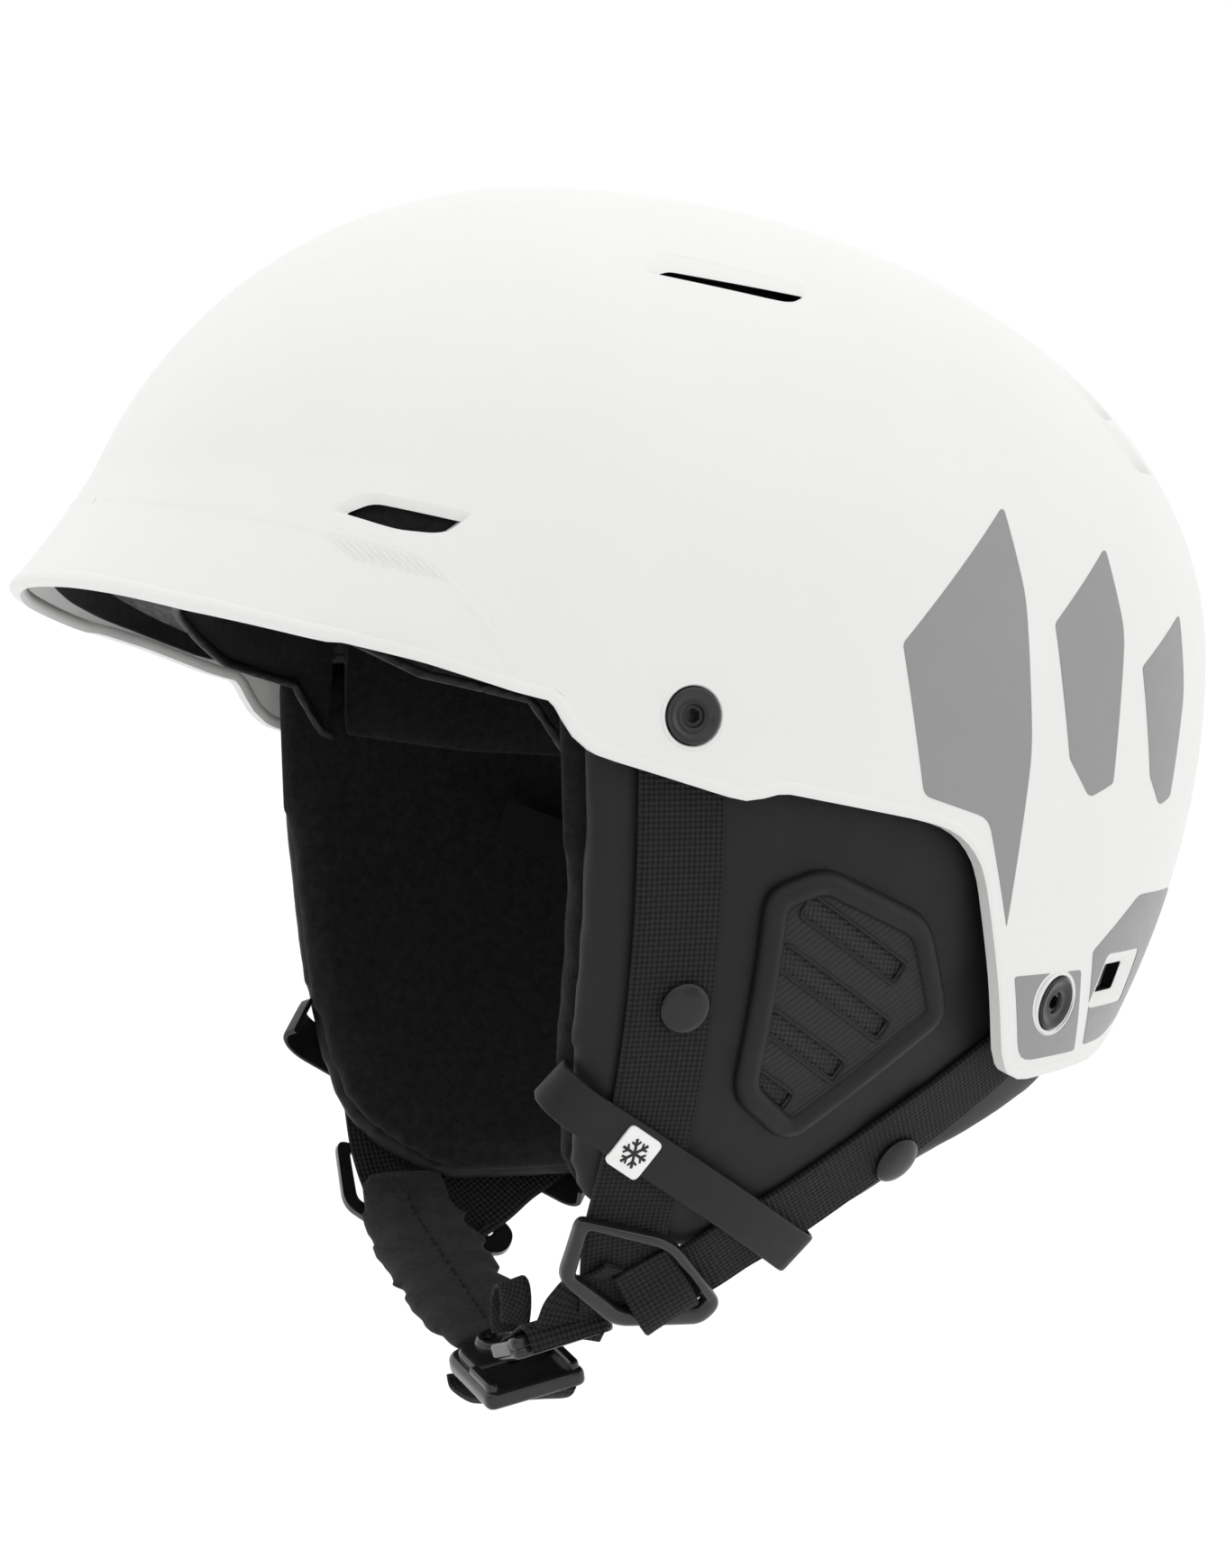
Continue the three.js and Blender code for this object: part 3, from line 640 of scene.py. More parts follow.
def prism(points, low, high):
    """A solid pushed through the helmet along X, from an outline in the side view."""
    bpy.ops.mesh.primitive_circle_add(vertices=len(points), radius=1, fill_type="NGON")
    piece = bpy.context.object
    flat = np.column_stack([np.full(len(points), low), points])
    place_vertices(piece, flat)
    push = {"TRANSFORM_OT_translate": {"value": ((high - low) * MM, 0, 0)}}
    edit(piece, (bpy.ops.mesh.extrude_region_move, push), mode="FACE")
    outward(piece)
    return piece


def capped(name, table, material, strap=None, angle=40):
    """A closed body from its sections, with a flat cap at each end."""
    caps = [np.broadcast_to(table[i].mean(0), table[0].shape)[None] for i in (0, -1)]
    if strap is not None:
        strap = np.concatenate([strap[:1], strap, strap[-1:]])
    return skin(name, np.concatenate([caps[0], table, caps[1]]), material, strap, angle)


def sweep(name, path, normal, section, material, closed=False, strap=None, angle=40):
    """A section carried along a path. A section point is (across, up): up follows the normal."""
    path, normal = np.asarray(path, float), unit(np.asarray(normal, float))
    if closed:
        tangent = unit(np.roll(path, -1, 0) - np.roll(path, 1, 0))
    else:
        tangent = unit(np.gradient(path, axis=0))
    across = unit(np.cross(tangent, normal))
    section = np.asarray(section, float)
    if section.ndim == 2:
        section = np.broadcast_to(section, (len(path), *section.shape))
    table = (
        path[:, None]
        + across[:, None] * section[..., 0, None]
        + normal[:, None] * section[..., 1, None]
    )
    if strap is not None:
        length = np.concatenate([[0], np.cumsum(np.linalg.norm(np.diff(path, axis=0), axis=1))])
        along = np.broadcast_to(length[:, None], section.shape[:2])
        strap = np.stack([along, section[..., 0], np.zeros_like(along)], -1)
    return (loop if closed else capped)(name, table, material, strap, angle)


def strap_section(width, thick, lip=0.0, points=7):
    """A flat strap's section, with rounded edges and, for webbing, slightly raised selvedges."""
    half, round_ = width / 2, thick / 2
    across = np.linspace(-half + round_, half - round_, points)
    raised = lip * (np.abs(across) > half - 2.4)
    top = [(a, thick + r) for a, r in zip(across, raised)]
    bottom = [(a, 0.0) for a in across[::-1]]
    right = [(half - round_ + round_ * math.sin(a), thick / 2 + round_ * math.cos(a)) for a in np.radians((45, 90, 135))]
    left = [(-a, b) for a, b in right[::-1]]
    return np.array(top + right + bottom + left)


def smooth_path(points, steps):
    """A smooth curve through a few points, with evenly spaced steps."""
    points = np.asarray(points, float)
    ends = np.vstack([2 * points[0] - points[1], points, 2 * points[-1] - points[-2]])
    fine = []
    for i in range(len(points) - 1):
        a, b, c, d = ends[i : i + 4]
        for t in np.linspace(0, 1, 24, endpoint=False):
            fine.append(0.5 * (2 * b + (c - a) * t + (2 * a - 5 * b + 4 * c - d) * t**2 + (3 * b - a - 3 * c + d) * t**3))
    return evenly(np.array([*fine, points[-1]]), steps)


def evenly(points, steps):
    length = np.concatenate([[0], np.cumsum(np.linalg.norm(np.diff(points, axis=0), axis=1))])
    return np.stack([np.interp(np.linspace(0, length[-1], steps), length, points[:, i]) for i in range(points.shape[1])], -1)


print("shaping tools ready")

# %% [markdown]
# ## Outer shell
# The real shell is a 3 mm moulding. A UV sphere is laid on the surface formula, its wall is made by cutting
# a 3 mm smaller dome out of it, and one side-view prism trims it to the rim line. Vents and rivet seats are cut the
# same way.

# %% Trim and cut the shell
RIM = [
    (-140, 130), (-140, 9), (-110, 8), (-98, 3), (-79, -3), (-57, -9), (-38, -15.5, 3), (-30, -17.5, 2),
    (-24, -28, 5), (12, -39, 3), (20, -37, 3), (54, -43.5, 3), (73, -48, 14), (82, -83, 4), (86.5, -104, 7),
    (123, -102, 3), (140, -96, 3), (152, -86, 3), (190, -86), (190, 130),
]  # fmt: skip
FRONT_SLOT = [(-69.1, 19.9, 1.5), (-63.6, 22.3, 2), (-47.2, 17.9, 1), (-52, 15.6, 3), (-60, 16.6, 1.5)]
FRONT_LIP = [(-71.2, 20.4, 1.5), (-64.2, 24.4, 2.5), (-45.6, 19.6, 1.5), (-51.5, 14.8, 3), (-60, 15.8, 1.5)]
TOP_SLOT = [(3.5, 71.6, 1), (8, 72.9, 1.5), (39.5, 67.9, 1), (36.5, 66.7, 1), (34, 66.6, 1)]
TOP_LIP = [(0.8, 72.3, 2), (8.5, 77.3, 4), (42.2, 69.6, 4), (37, 65.8, 2), (33, 65.9, 2)]
UPPER_SCOOP = [(113.5, 52.5, 2), (122, 51.5, 3), (131.5, 42.5, 2), (124, 41.5, 3)]
LOWER_SCOOP = [(121, 42, 2), (130, 40, 3), (139.5, 29.5, 2), (130.5, 30, 3)]
UPPER_HOLE = [(121, 44.5, 0.6), (122, 45.2, 0.6), (129.5, 42.6, 0.6), (124.6, 42.2, 0.6)]
LOWER_HOLE = [(126.5, 33.5, 0.8), (128.5, 34.5, 0.8), (137, 30.2, 0.8), (131, 30.2, 0.8)]
REAR_LIP = [(112.6, -91, 1.2), (117.2, -79.6, 1.2), (132, -79.6, 1.2), (129, -91, 1.2)]
REAR_HOLE = [(115.4, -88.8, 0.8), (118.4, -82.4, 0.8), (128.4, -82.4, 0.8), (126.4, -88.8, 0.8)]
VENTS = {
    "front_vent": (FRONT_LIP, FRONT_SLOT, 1.1, 24),
    "top_vent": (TOP_LIP, TOP_SLOT, 0.55, 24),
    "upper_scoop": (UPPER_SCOOP, UPPER_HOLE, 2.1, 14),
    "lower_scoop": (LOWER_SCOOP, LOWER_HOLE, 2.3, 14),
    "rear_slot": (REAR_LIP, REAR_HOLE, 1.8, 6),
}
RIVETS = {"front": (-1.0, -23.0), "rear": (99.0, -89.0)}
RIVET_SEAT = 6.9


def dome(name, inset, floor, around, rings, brim, material):
    """The closed dome under one skin of the helmet, down to a flat floor."""
    top = SHELL["top"] - (inset["top"] if isinstance(inset, dict) else inset)
    half = rings // 2
    high = SHELL["belt"] + (top - SHELL["belt"]) * np.cos(np.linspace(0, math.pi / 2, half + 1))
    low = np.linspace(SHELL["belt"], floor, rings - half)[1:]
    heights = np.concatenate([high, low, [floor]])
    angles = np.linspace(0, 2 * math.pi, around, endpoint=False)
    table = np.array([plan_point(angles, h, inset, brim) for h in heights])
    table[0] = (0, 0, top)
    table[-1] = (0, 0, floor)
    return skin(name, table, material)


def wall_cutter(corners, near, side):
    low, high = (near, 135) if side > 0 else (-135, -near)
    return prism(outline(corners), low, high)


shell = dome("shell", 0.0, -112.0, 240, 130, True, shell_white)
boolean(shell, dome("hollow", WALL, -125.0, 200, 100, True, shell_white))
boolean(shell, prism(outline(RIM), -140, 140), "INTERSECT")
for lip, _, _, _ in VENTS.values():
    for side in (1, -1):
        boolean(shell, wall_cutter(lip, 38, side))
for y, z in RIVETS.values():
    turn = np.linspace(0, 2 * math.pi, 32, endpoint=False)
    seat = np.column_stack([y + RIVET_SEAT * np.cos(turn), z + RIVET_SEAT * np.sin(turn)])
    x = float(side_x(np.array(y), np.array(z)))
    for side in (1, -1):
        low, high = sorted((side * (x - 12), side * (x + 12)))
        boolean(shell, prism(seat, low, high))
dress(shell, "shell", shell_white, 30)
put(shell, "helmet", "shell_white", "outer_shell")
print("shell faces:", len(shell.data.polygons))

# %% [markdown]
# The moulding's edge is rounded and a little thicker than the wall. A bead swept round the rim line does
# this: its section follows the surface normal, so the lip keeps one width on level and steep stretches.

# %% Rim bead
RIM_SECTION = [
    (2.6, 0.02), (2.0, 0.3), (1.1, 0.38), (0.3, 0.28), (-0.35, -0.15), (-0.6, -1.5),
    (-0.35, -2.85), (0.3, -3.3), (1.4, -3.4), (2.5, -3.1), (2.5, -1.5),
]  # fmt: skip


def rim_line(steps):
    """The rim in space on the left side, from the middle of the brim to the middle of the back."""
    corners = outline(RIM[1:-1], 8, 30)
    start = np.argmin(np.hypot(corners[:, 0] + 139.6, corners[:, 1] - 9))
    line = np.roll(corners, -start, 0)
    line = line[: np.argmax(line[:, 0] > 185)]
    fine = evenly(line, 6000)
    length = np.where(fine[:, 0] < 0, reach("front", fine[:, 1]), reach("rear", fine[:, 1]))
    inside = fine[np.abs(fine[:, 0]) < length]
    spots = (1 - np.cos(np.linspace(0, math.pi, 2400))) / 2 * (len(inside) - 1)
    y, z = (np.interp(spots, np.arange(len(inside)), inside[:, i]) for i in (0, 1))
    line = evenly(np.column_stack([side_x(y, z), y, z]), steps)
    line[0, 0] = line[-1, 0] = 0
    return line


left_rim = rim_line(240)
rim = np.vstack([left_rim, left_rim[-2:0:-1] * (-1, 1, 1)])
rim_normal = shell_normal(rim[:, 0], rim[:, 1], rim[:, 2])
bead = sweep("rim_bead", rim, rim_normal, [(a, u) for a, u in RIM_SECTION], shell_white, closed=True, angle=60)
put(bead, "helmet", "shell_white")
print("rim length:", round(float(np.linalg.norm(np.diff(rim, axis=0), axis=1).sum())), "mm")

# %% [markdown]
# Each vent is a dished recess with a slot at its bottom. Lofting the lip's outline into the slot's
# outline gives the slope between them. A dark duct runs on from the slot into the foam.

# %% Vent recesses
def vent(name, lip, slot, depth, duct):
    lip, slot = outline(lip, 4, 8), outline(slot, 4, 8)
    duct_wall = grown(slot, 0.9)

    def inner(points, sink):
        place = on_shell(points[:, 0], points[:, 1], -depth)
        return place - np.array([sink, 0, 0])

    rings = [
        on_shell(*grown(lip, 0.25).T, -0.9),
        on_shell(*grown(lip, 0.12).T, 0.0),
        on_shell(*grown(lip, -0.25).T, -0.08),
        inner(grown(slot, 0.35), 0) + (0.12, 0, 0),
        inner(slot, 0.12),
        inner(slot, 0.5),
        inner(duct_wall, 0.9),
        on_shell(*grown(lip, 0.25).T, -2.2),
    ]
    dark = [inner(slot, 0.45), inner(slot, duct), inner(duct_wall, duct), inner(duct_wall, 0.95)]
    recess = loop(name, np.array(rings).transpose(1, 0, 2), shell_white, angle=50)
    return recess, loop(name + "_duct", np.array(dark).transpose(1, 0, 2), rubber_black, angle=50)


for name, (lip, slot, depth, duct) in VENTS.items():
    recess, dark_duct = vent(name + "_left", lip, slot, depth, duct)
    put_pair(recess, "helmet", "shell_white")
    dark_duct.name = dark_duct.data.name = name + "_duct_left"
    put_pair(dark_duct, "helmet", "rubber_black")
for side in ("left", "right"):
    nodes["top_vent_mesh_" + side].data.materials.clear()
    nodes["top_vent_mesh_" + side].data.materials.append(mesh_black)
print("vents:", len(VENTS) * 2)

# %% [markdown]
# ## Brim step and ribs
# A shallow step crosses the brim and runs down to the rim behind it, and a fan of fine slanted ribs sits
# under each front vent. Both are low ridges swept along lines on the shell.

# %% Brim step and ribs
STEP_LINE = [
    (-97.6, 23.5), (-95.5, 23.2), (-87, 20.8), (-76, 17.4), (-66, 14.4), (-57.5, 11.8), (-52.5, 7.2),
    (-47, -0.5), (-42, -7.5), (-39.5, -13.2),
]  # fmt: skip
STEP_SECTION = [(-0.5, -0.5), (-0.42, 0.02), (-0.2, 0.26), (0.15, 0.26), (0.9, 0.1), (1.7, 0.0), (1.7, -0.5)]
RIB_SECTION = [(-0.85, -0.4), (-0.8, 0.0), (-0.25, 0.3), (0.2, 0.3), (0.75, 0.0), (0.8, -0.4)]
RIB_COUNT = 12


def on_shell_path(points, steps, lift=0.0):
    line = smooth_path(points, steps)
    path = on_shell(line[:, 0], line[:, 1], lift)
    return path, shell_normal(path[:, 0], path[:, 1], path[:, 2])


path, up = on_shell_path(STEP_LINE, 90)
put_pair(sweep("brim_step_left", path, up, STEP_SECTION, shell_white, angle=60), "helmet", "shell_white")

ribs = []
for share in np.linspace(0, 1, RIB_COUNT):
    start = np.array([-72.4 + 17.2 * share, 15.8 - 5.1 * share - 0.5])
    end = np.array([-68.3 + 16.9 * share, 9.9 - 4.5 * share])
    fine = np.linspace(start, end, 9)
    path = on_shell(fine[:, 0], fine[:, 1], 0.0)
    up = shell_normal(path[:, 0], path[:, 1], path[:, 2])
    height = np.sin(np.linspace(0.25, math.pi - 0.25, 9)) ** 0.4
    section = np.array(RIB_SECTION)[None] * np.stack([np.ones(9) * 0.62, height], -1)[:, None]
    ribs.append(sweep("rib", path, up, section, shell_white))
put_pair(join("brim_ribs_left", ribs), "helmet", "shell_white")

# %% [markdown]
# ## Printed bars
# The side carries a print in one flat grey. Here it is a plain set of slanted bars and a band along the
# lower rear edge: thin films laid a tenth of a millimetre above the shell.

# %% Printed bars
FILM = [(0.0, 0, -0.2), (0.5, 0, -0.2), (0.97, 0, -0.2), (1, 0, -0.15), (1, -0.06, 0.1), (1, -0.15, 0.14)]
FILM += [(s, 0, 0.14) for s in np.linspace(0.96, 0, 14)]
PRINTS = {
    "tall_bar": [(49.5, -8, 1), (79, 22, 2), (83.5, 2, 4), (85.5, -32, 6), (80.5, -71, 1), (73.5, -46.5, 3), (55.5, -41, 2)],
    "short_bar": [(92, -4, 1), (110, 13, 2), (115, -6, 4), (112, -40, 1), (104, -43, 2), (97, -34, 1)],
    "rear_bar": [(121.5, -14, 1), (138, -2, 2), (140, -20, 4), (136, -44, 1), (131, -46, 2), (126, -39, 1)],
    "low_front_bar": [(84.3, -82, 1), (107, -82, 1), (110.5, -101.2, 1), (89, -101.8, 4.5)],
    "low_rear_bar": [(110.5, -78, 1), (127, -66, 2), (147, -66, 2), (142, -93.2, 2), (123, -99.7, 3), (114, -100.3, 1)],
}
RIVET_CLEAR = 7.6


def film(name, corners):
    piece = skin(name, layer_table(outline(corners, 4, 14), FILM, on_shell), print_grey)
    if name == "low_front_bar":
        y, z = RIVETS["rear"]
        turn = np.linspace(0, 2 * math.pi, 40, endpoint=False)
        clear = np.column_stack([y + RIVET_CLEAR * np.cos(turn), z + RIVET_CLEAR * np.sin(turn)])
        boolean(piece, prism(clear, 40, 130))
    if name == "low_rear_bar":
        boolean(piece, prism(grown(outline(REAR_LIP), 0.5), 30, 130))
    return piece


prints = join("printed_bars_left", [film(name, corners) for name, corners in PRINTS.items()])
dress(prints, "printed_bars_left", print_grey, 30)
put_pair(prints, "helmet", "shell_white")
print("printed areas:", list(PRINTS))

# %% [markdown]
# ## Rivets and snaps
# Round pieces are turned. A profile is spun about an axis, and the result is stood on the surface with
# its axis along the normal. The rivet has a dished head with a hexagonal socket, in a white ring.

# %% Turned pieces
def turned(name, profile, place, normal, material, steps=40, angle=35):
    """A closed turned piece: the profile goes from the axis to the axis, as (radius, height) points."""
    turn = np.linspace(0, 2 * math.pi, steps, endpoint=False)
    axis = Vector(normal).to_track_quat("Z", "Y").to_matrix()
    matrix = np.array(axis)
    rings = [
        np.column_stack([r * np.cos(turn), r * np.sin(turn), np.full(steps, float(h))]) for r, h in profile
    ]
    return skin(name, np.array(rings) @ matrix.T + np.asarray(place, float), material, angle=angle)


def hexagon_socket(place, normal, radius, top, bottom):
    bpy.ops.mesh.primitive_cylinder_add(vertices=6, radius=radius * MM, depth=(top - bottom) * MM)
    cutter = bpy.context.object
    matrix = Vector(normal).to_track_quat("Z", "Y").to_matrix().to_4x4()
    cutter.data.transform(Matrix.Translation((0, 0, (top + bottom) / 2 * MM)))
    cutter.data.transform(matrix)
    cutter.data.transform(Matrix.Translation(Vector(place) * MM))
    return cutter


RIVET_HEAD = [
    (0, -10.6), (5.4, -10.6), (5.4, -9.5), (2.6, -9.4), (2.6, -1.2), (5.9, -1.2), (6.15, -0.9), (6.15, 0.2),
    (6.0, 0.6), (5.6, 0.85), (5.0, 0.8), (4.2, 0.3), (3.3, 0.1), (2.9, 0.25), (2.55, 0.25), (2.3, -0.1), (2.2, -0.4), (0, -0.4),
]  # fmt: skip
SEAT_RING = [
    (6.25, -3.2), (7.3, -3.2), (7.35, -0.05), (7.05, 0.22), (6.75, 0.28), (6.5, 0.1), (6.35, -0.4), (6.25, -1.4),
]  # fmt: skip


def seat_ring(name, place, normal):
    turn = np.linspace(0, 2 * math.pi, 48, endpoint=False)
    matrix = np.array(Vector(normal).to_track_quat("Z", "Y").to_matrix())
    table = np.array([[(r * math.cos(a), r * math.sin(a), h) for r, h in SEAT_RING] for a in turn])
    return loop(name, table @ matrix.T + place, shell_white, angle=60)


for where, (y, z) in RIVETS.items():
    place = on_shell(np.array(y), np.array(z), 0.0)
    normal = shell_normal(place[0], place[1], place[2])
    rivet = turned(f"rivet_head_{where}_left", RIVET_HEAD, place, normal, hard_black)
    boolean(rivet, hexagon_socket(place, normal, 1.75, 1.0, -3.0))
    dress(rivet, f"rivet_head_{where}_left", hard_black, 35)
    put_pair(rivet, "helmet", "hard_black", f"rivet_{where}_left")
    put_pair(seat_ring(f"rivet_seat_{where}_left", place, normal), "helmet", "shell_white")

SNAPS = {"front": (2.0, -85.0), "rear": (64.0, -122.5)}
SNAP_CAP = [
    (0, 2.1), (5.2, 2.1), (5.7, 2.35), (5.85, 2.75), (5.7, 3.15), (5.2, 3.6), (4.4, 3.98), (3.3, 4.28), (2.2, 4.42), (1.1, 4.5), (0, 4.52),
]  # fmt: skip


def ear_normal(y, z):
    low, high = on_ear(np.array(y), np.array(z), 0.0), on_ear(np.array(y), np.array(z), 1.0)
    return high - low


for where, (y, z) in SNAPS.items():
    place = on_ear(np.array(y), np.array(z), 0.0)
    snap = turned(f"snap_cap_{where}_left", SNAP_CAP, place, ear_normal(y, z), snap_black, angle=60)
    put_pair(snap, "helmet", "hard_black", f"snap_{where}_left")
print("rivets and snaps:", (len(RIVETS) + len(SNAPS)) * 2)

# %% [markdown]
# ## Foam liner
# The liner is moulded bead foam that fills the space between the shell and the pads. It is a thick dome
# trimmed to its own lower edge, with the front and top vents cut through it.

# %% Foam liner
FOAM_RIM = [
    (-140, 130), (-140, 17), (-96, 16, 2), (-86, 8, 3), (-70, 1, 3), (-57, -4, 3), (-40, -10, 3), (-28, -14, 6),
    (80, -14, 6), (90, -34, 6), (99, -68, 4), (190, -70), (190, 130),
]  # fmt: skip
liner = dome("liner", FOAM_OUT, -112.0, 120, 64, False, bead_foam)
boolean(liner, dome("head_space", FOAM_IN, -125.0, 100, 56, False, bead_foam))
boolean(liner, prism(outline(FOAM_RIM), -140, 140), "INTERSECT")
for name in ("front_vent", "top_vent"):
    duct = grown(outline(VENTS[name][1]), 1.6)
    lip_hole = grown(outline(VENTS[name][0]), 0.6)
    for side in (1, -1):
        boolean(liner, prism(duct, *sorted((side * 34, side * 120))))
dress(liner, "bead_foam_liner", bead_foam, 35)
put(liner, "helmet", "liner_foam", "foam_liner")
print("liner faces:", len(liner.data.polygons))

# %% [markdown]
# ## Padded pieces
# Pads are sewn shells stuffed with soft foam. Each starts a little thinner than the real pad. The ear pads,
# the chin sleeve and the nape pad are first remeshed into even cells. Each is blown up by a cloth simulation with
# pressure and no gravity, which rounds the faces and pulls the edges in. The move is capped, so a pad never leaves its
# own space.

# %% Blow up a pad
def stuff(piece, name, material, voxel=3.4, pressure=4.0, cap=1.6, pin_low=None):
    if voxel:
        modify(piece, "REMESH", mode="VOXEL", voxel_size=voxel * MM)
    rest = vertices(piece)
    cloth_made = piece.modifiers.new("cloth", "CLOTH")
    cloth_made.settings.use_pressure = True
    cloth_made.settings.uniform_pressure_force = pressure
    cloth_made.settings.effector_weights.gravity = 0
    cloth_made.settings.quality = 4
    cloth_made.settings.tension_stiffness = 12
    cloth_made.settings.compression_stiffness = 12
    cloth_made.settings.bending_stiffness = 0.4
    scene = bpy.context.scene
    for frame_number in range(1, 21):
        scene.frame_set(frame_number)
    graph = bpy.context.evaluated_depsgraph_get()
    blown = vertices(piece.evaluated_get(graph))
    piece.modifiers.clear()
    scene.frame_set(1)
    move = blown - rest
    far = np.linalg.norm(move, axis=1, keepdims=True)
    move *= np.minimum(1, cap * MM / np.maximum(far, 1e-9))
    place_vertices(piece, (rest + move) / MM)
    modify(piece, "SMOOTH", factor=0.5, iterations=2)
    modify(piece, "SUBSURF", levels=1, render_levels=1)
    outward(piece)
    dress(piece, name, material, 180)
    return piece


def keep_under(piece, surface_height, limit):
    """Presses a pad's outer face down where something lies on it."""
    co = vertices(piece) / MM
    over = co[:, 0] - surface_height(co[:, 1], co[:, 2])
    co[:, 0] -= np.maximum(over - limit(co[:, 1], co[:, 2]), 0)
    place_vertices(piece, co)


def step_down(value, start, end):
    """1 before start, 0 after end, and smooth between them."""
    t = np.clip((value - start) / (end - start), 0, 1)
    return 1 - t * t * (3 - 2 * t)


# %% [markdown]
# ## Lining of the brim
# Under the brim the bare shell is covered by a thin black felt that stops a few millimetres short of the
# rim. It is laid as one curved strip from temple to temple.

# %% Brim lining
FELT_EDGE = ((-110, -98, -79, -57, -38, -28), (12.8, 7.6, 0.2, -7.0, -13.8, -15.5))


def brim_lining(steps=96):
    rings = []
    for angle in np.radians(np.linspace(-77, 77, steps)):
        at = plan_point(angle, np.array(4.0), WALL, True)
        low = np.interp(at[1], *FELT_EDGE)
        heights = np.linspace(low, 26, 12)
        outer = plan_point(angle, heights, WALL + 0.05, True)
        inner = plan_point(angle, heights[::-1] + 0.1, WALL + 1.0, True)
        rings.append(np.concatenate([outer, inner]))
    return capped("brim_lining", np.array(rings), fleece_black, angle=60)


put(brim_lining(), "helmet", "fleece_black")
print("felt stops", FELT_EDGE[1][0] - 8.5, "mm above the rim at the front")

# %% [markdown]
# ## Comfort pads inside the shell
# The brow pad runs round the forehead to both temples, the side pads carry on from there, and a pad with
# rounded ends lies under the crown. Each is a fleece cover over thin foam. The visible lower edge of the
# brow pad is finished with a sewn cord of the same cloth, called piping.

# %% Brow and side pads
PAD_OUT = {"front": 25.2, "rear": 35.2, "half": 27.6, "top": 27.0}
PAD_IN = {"front": 30.0, "rear": 39.2, "half": 31.4, "top": 31.0}
BROW_EDGE = ((-90, -76, -62, -46, -25, -17.5, -14), (4.5, 2.5, -4, -13.5, -19, -30.5, -32))
SIDE_EDGE = ((-12, 20, 66), (-33, -37.5, -40))


def mixed(outer, inner, share):
    return {key: outer[key] * (1 - share) + inner[key] * share for key in outer}


def angle_at(y, z, side=1):
    """The plan angle at which the pads' outer face passes a given y."""
    angles = np.radians(np.linspace(0, 180, 1801))
    line = plan_point(angles, np.array(float(z)), PAD_OUT, False)[:, 1]
    return side * np.interp(y, line, angles)


def wall_pad(name, angles, edge, top, material):
    """A pad on the liner's inner wall: its section at each angle is a flat lens from its lower edge to its top."""
    rings = []
    for i, angle in enumerate(angles):
        at = plan_point(angle, np.array(-8.0), PAD_OUT, False)
        low = np.interp(at[1], *edge) - 1.6
        end = math.sin(math.pi * min(max(i / (len(angles) - 1), 0.012), 0.988)) ** 0.22
        ring = []
        for share in np.linspace(0, 1, 15):
            ring.append(plan_point(angle, np.array(low + (top - low) * share), PAD_OUT, False))
        for share in np.linspace(0.97, 0.03, 17):
            swell = (1 - abs(2 * share - 1) ** 5) ** 0.5 * end
            inset = mixed(PAD_OUT, PAD_IN, max(swell, 0.12))
            ring.append(plan_point(angle, np.array(low + (top - low) * share), inset, False))
        rings.append(ring)
    return capped(name, np.array(rings), material)


brow_end = angle_at(-14.5, -8)
brow = wall_pad("brow_pad_cover", np.linspace(-brow_end, brow_end, 130), BROW_EDGE, 33, fleece_black)
put(stuff(brow, "brow_pad_cover", fleece_black, voxel=None, cap=0.8), "helmet", "fleece_black", "brow_pad")

side = wall_pad("side", np.linspace(angle_at(-11, -8), angle_at(65, -8), 60), SIDE_EDGE, 32, fleece_black)
stuff(side, "side_pad_cover_left", fleece_black, voxel=None, cap=0.8)
put_pair(side, "helmet", "fleece_black", "side_pad_left")

edge_angles = np.linspace(-brow_end, brow_end, 140)
line = plan_point(edge_angles, np.full(140, -8.0), mixed(PAD_OUT, PAD_IN, 0.35), False)
heights = np.interp(line[:, 1], *BROW_EDGE)
line = plan_point(edge_angles, heights, mixed(PAD_OUT, PAD_IN, 0.35), False)
out = unit(np.column_stack([line[:, 0], line[:, 1] * 1.1, np.zeros(140)]))
tube = [(1.15 * math.cos(a), 1.15 * math.sin(a)) for a in np.linspace(0, 2 * math.pi, 10, endpoint=False)]
piping = sweep("brow_piping", line - (0, 0, 0.9), out, tube, softshell_black, angle=180)
put(piping, "helmet", "fleece_black")
print("brow pad reaches", round(math.degrees(brow_end)), "degrees to each side")

# %% Crown pad
def crown_pad():
    turn = np.linspace(0, 2 * math.pi, 48, endpoint=False)
    rings = []
    for share, depth in ((0, 27.2), (0.5, 27.2), (0.93, 27.3), (0.985, 27.8), (1, 28.5), (0.985, 29.3), (0.92, 30.2), (0.6, 30.6), (0.3, 30.7), (0, 30.7)):
        x, y = 33.4 * share * np.cos(turn), 25 + 59 * share * np.sin(turn)
        inset = {"front": depth - 1.8, "rear": depth + 8.2, "half": depth, "top": depth}
        low, high = np.full(48, -10.0), np.full(48, SHELL["top"] - depth - 0.01)
        for _ in range(40):
            middle = (low + high) / 2
            length = np.where(y < 0, reach("front", middle, inset, False), reach("rear", middle, inset, False))
            inside = (np.abs(x) / reach("half", middle, inset)) ** PLAN_POWER + (np.abs(y) / length) ** PLAN_POWER < 1
            low, high = np.where(inside, middle, low), np.where(inside, high, middle)
        rings.append(np.column_stack([x, y, low]))
    table = np.array(rings)
    table[0], table[-1] = table[0].mean(0), table[-1].mean(0)
    return skin("crown", table, fleece_black)


crown = stuff(crown_pad(), "crown_pad_cover", fleece_black, voxel=None, cap=0.6)
put(crown, "helmet", "fleece_black", "crown_pad")

# %% [markdown]
# ## Ear pads
# An ear pad is two layers sewn at the edge: a smooth softshell cover outside and deep fleece inside. The
# front edge of the cover is a soft roll. Where webbing and the grille lie on it, the cover is held flat.

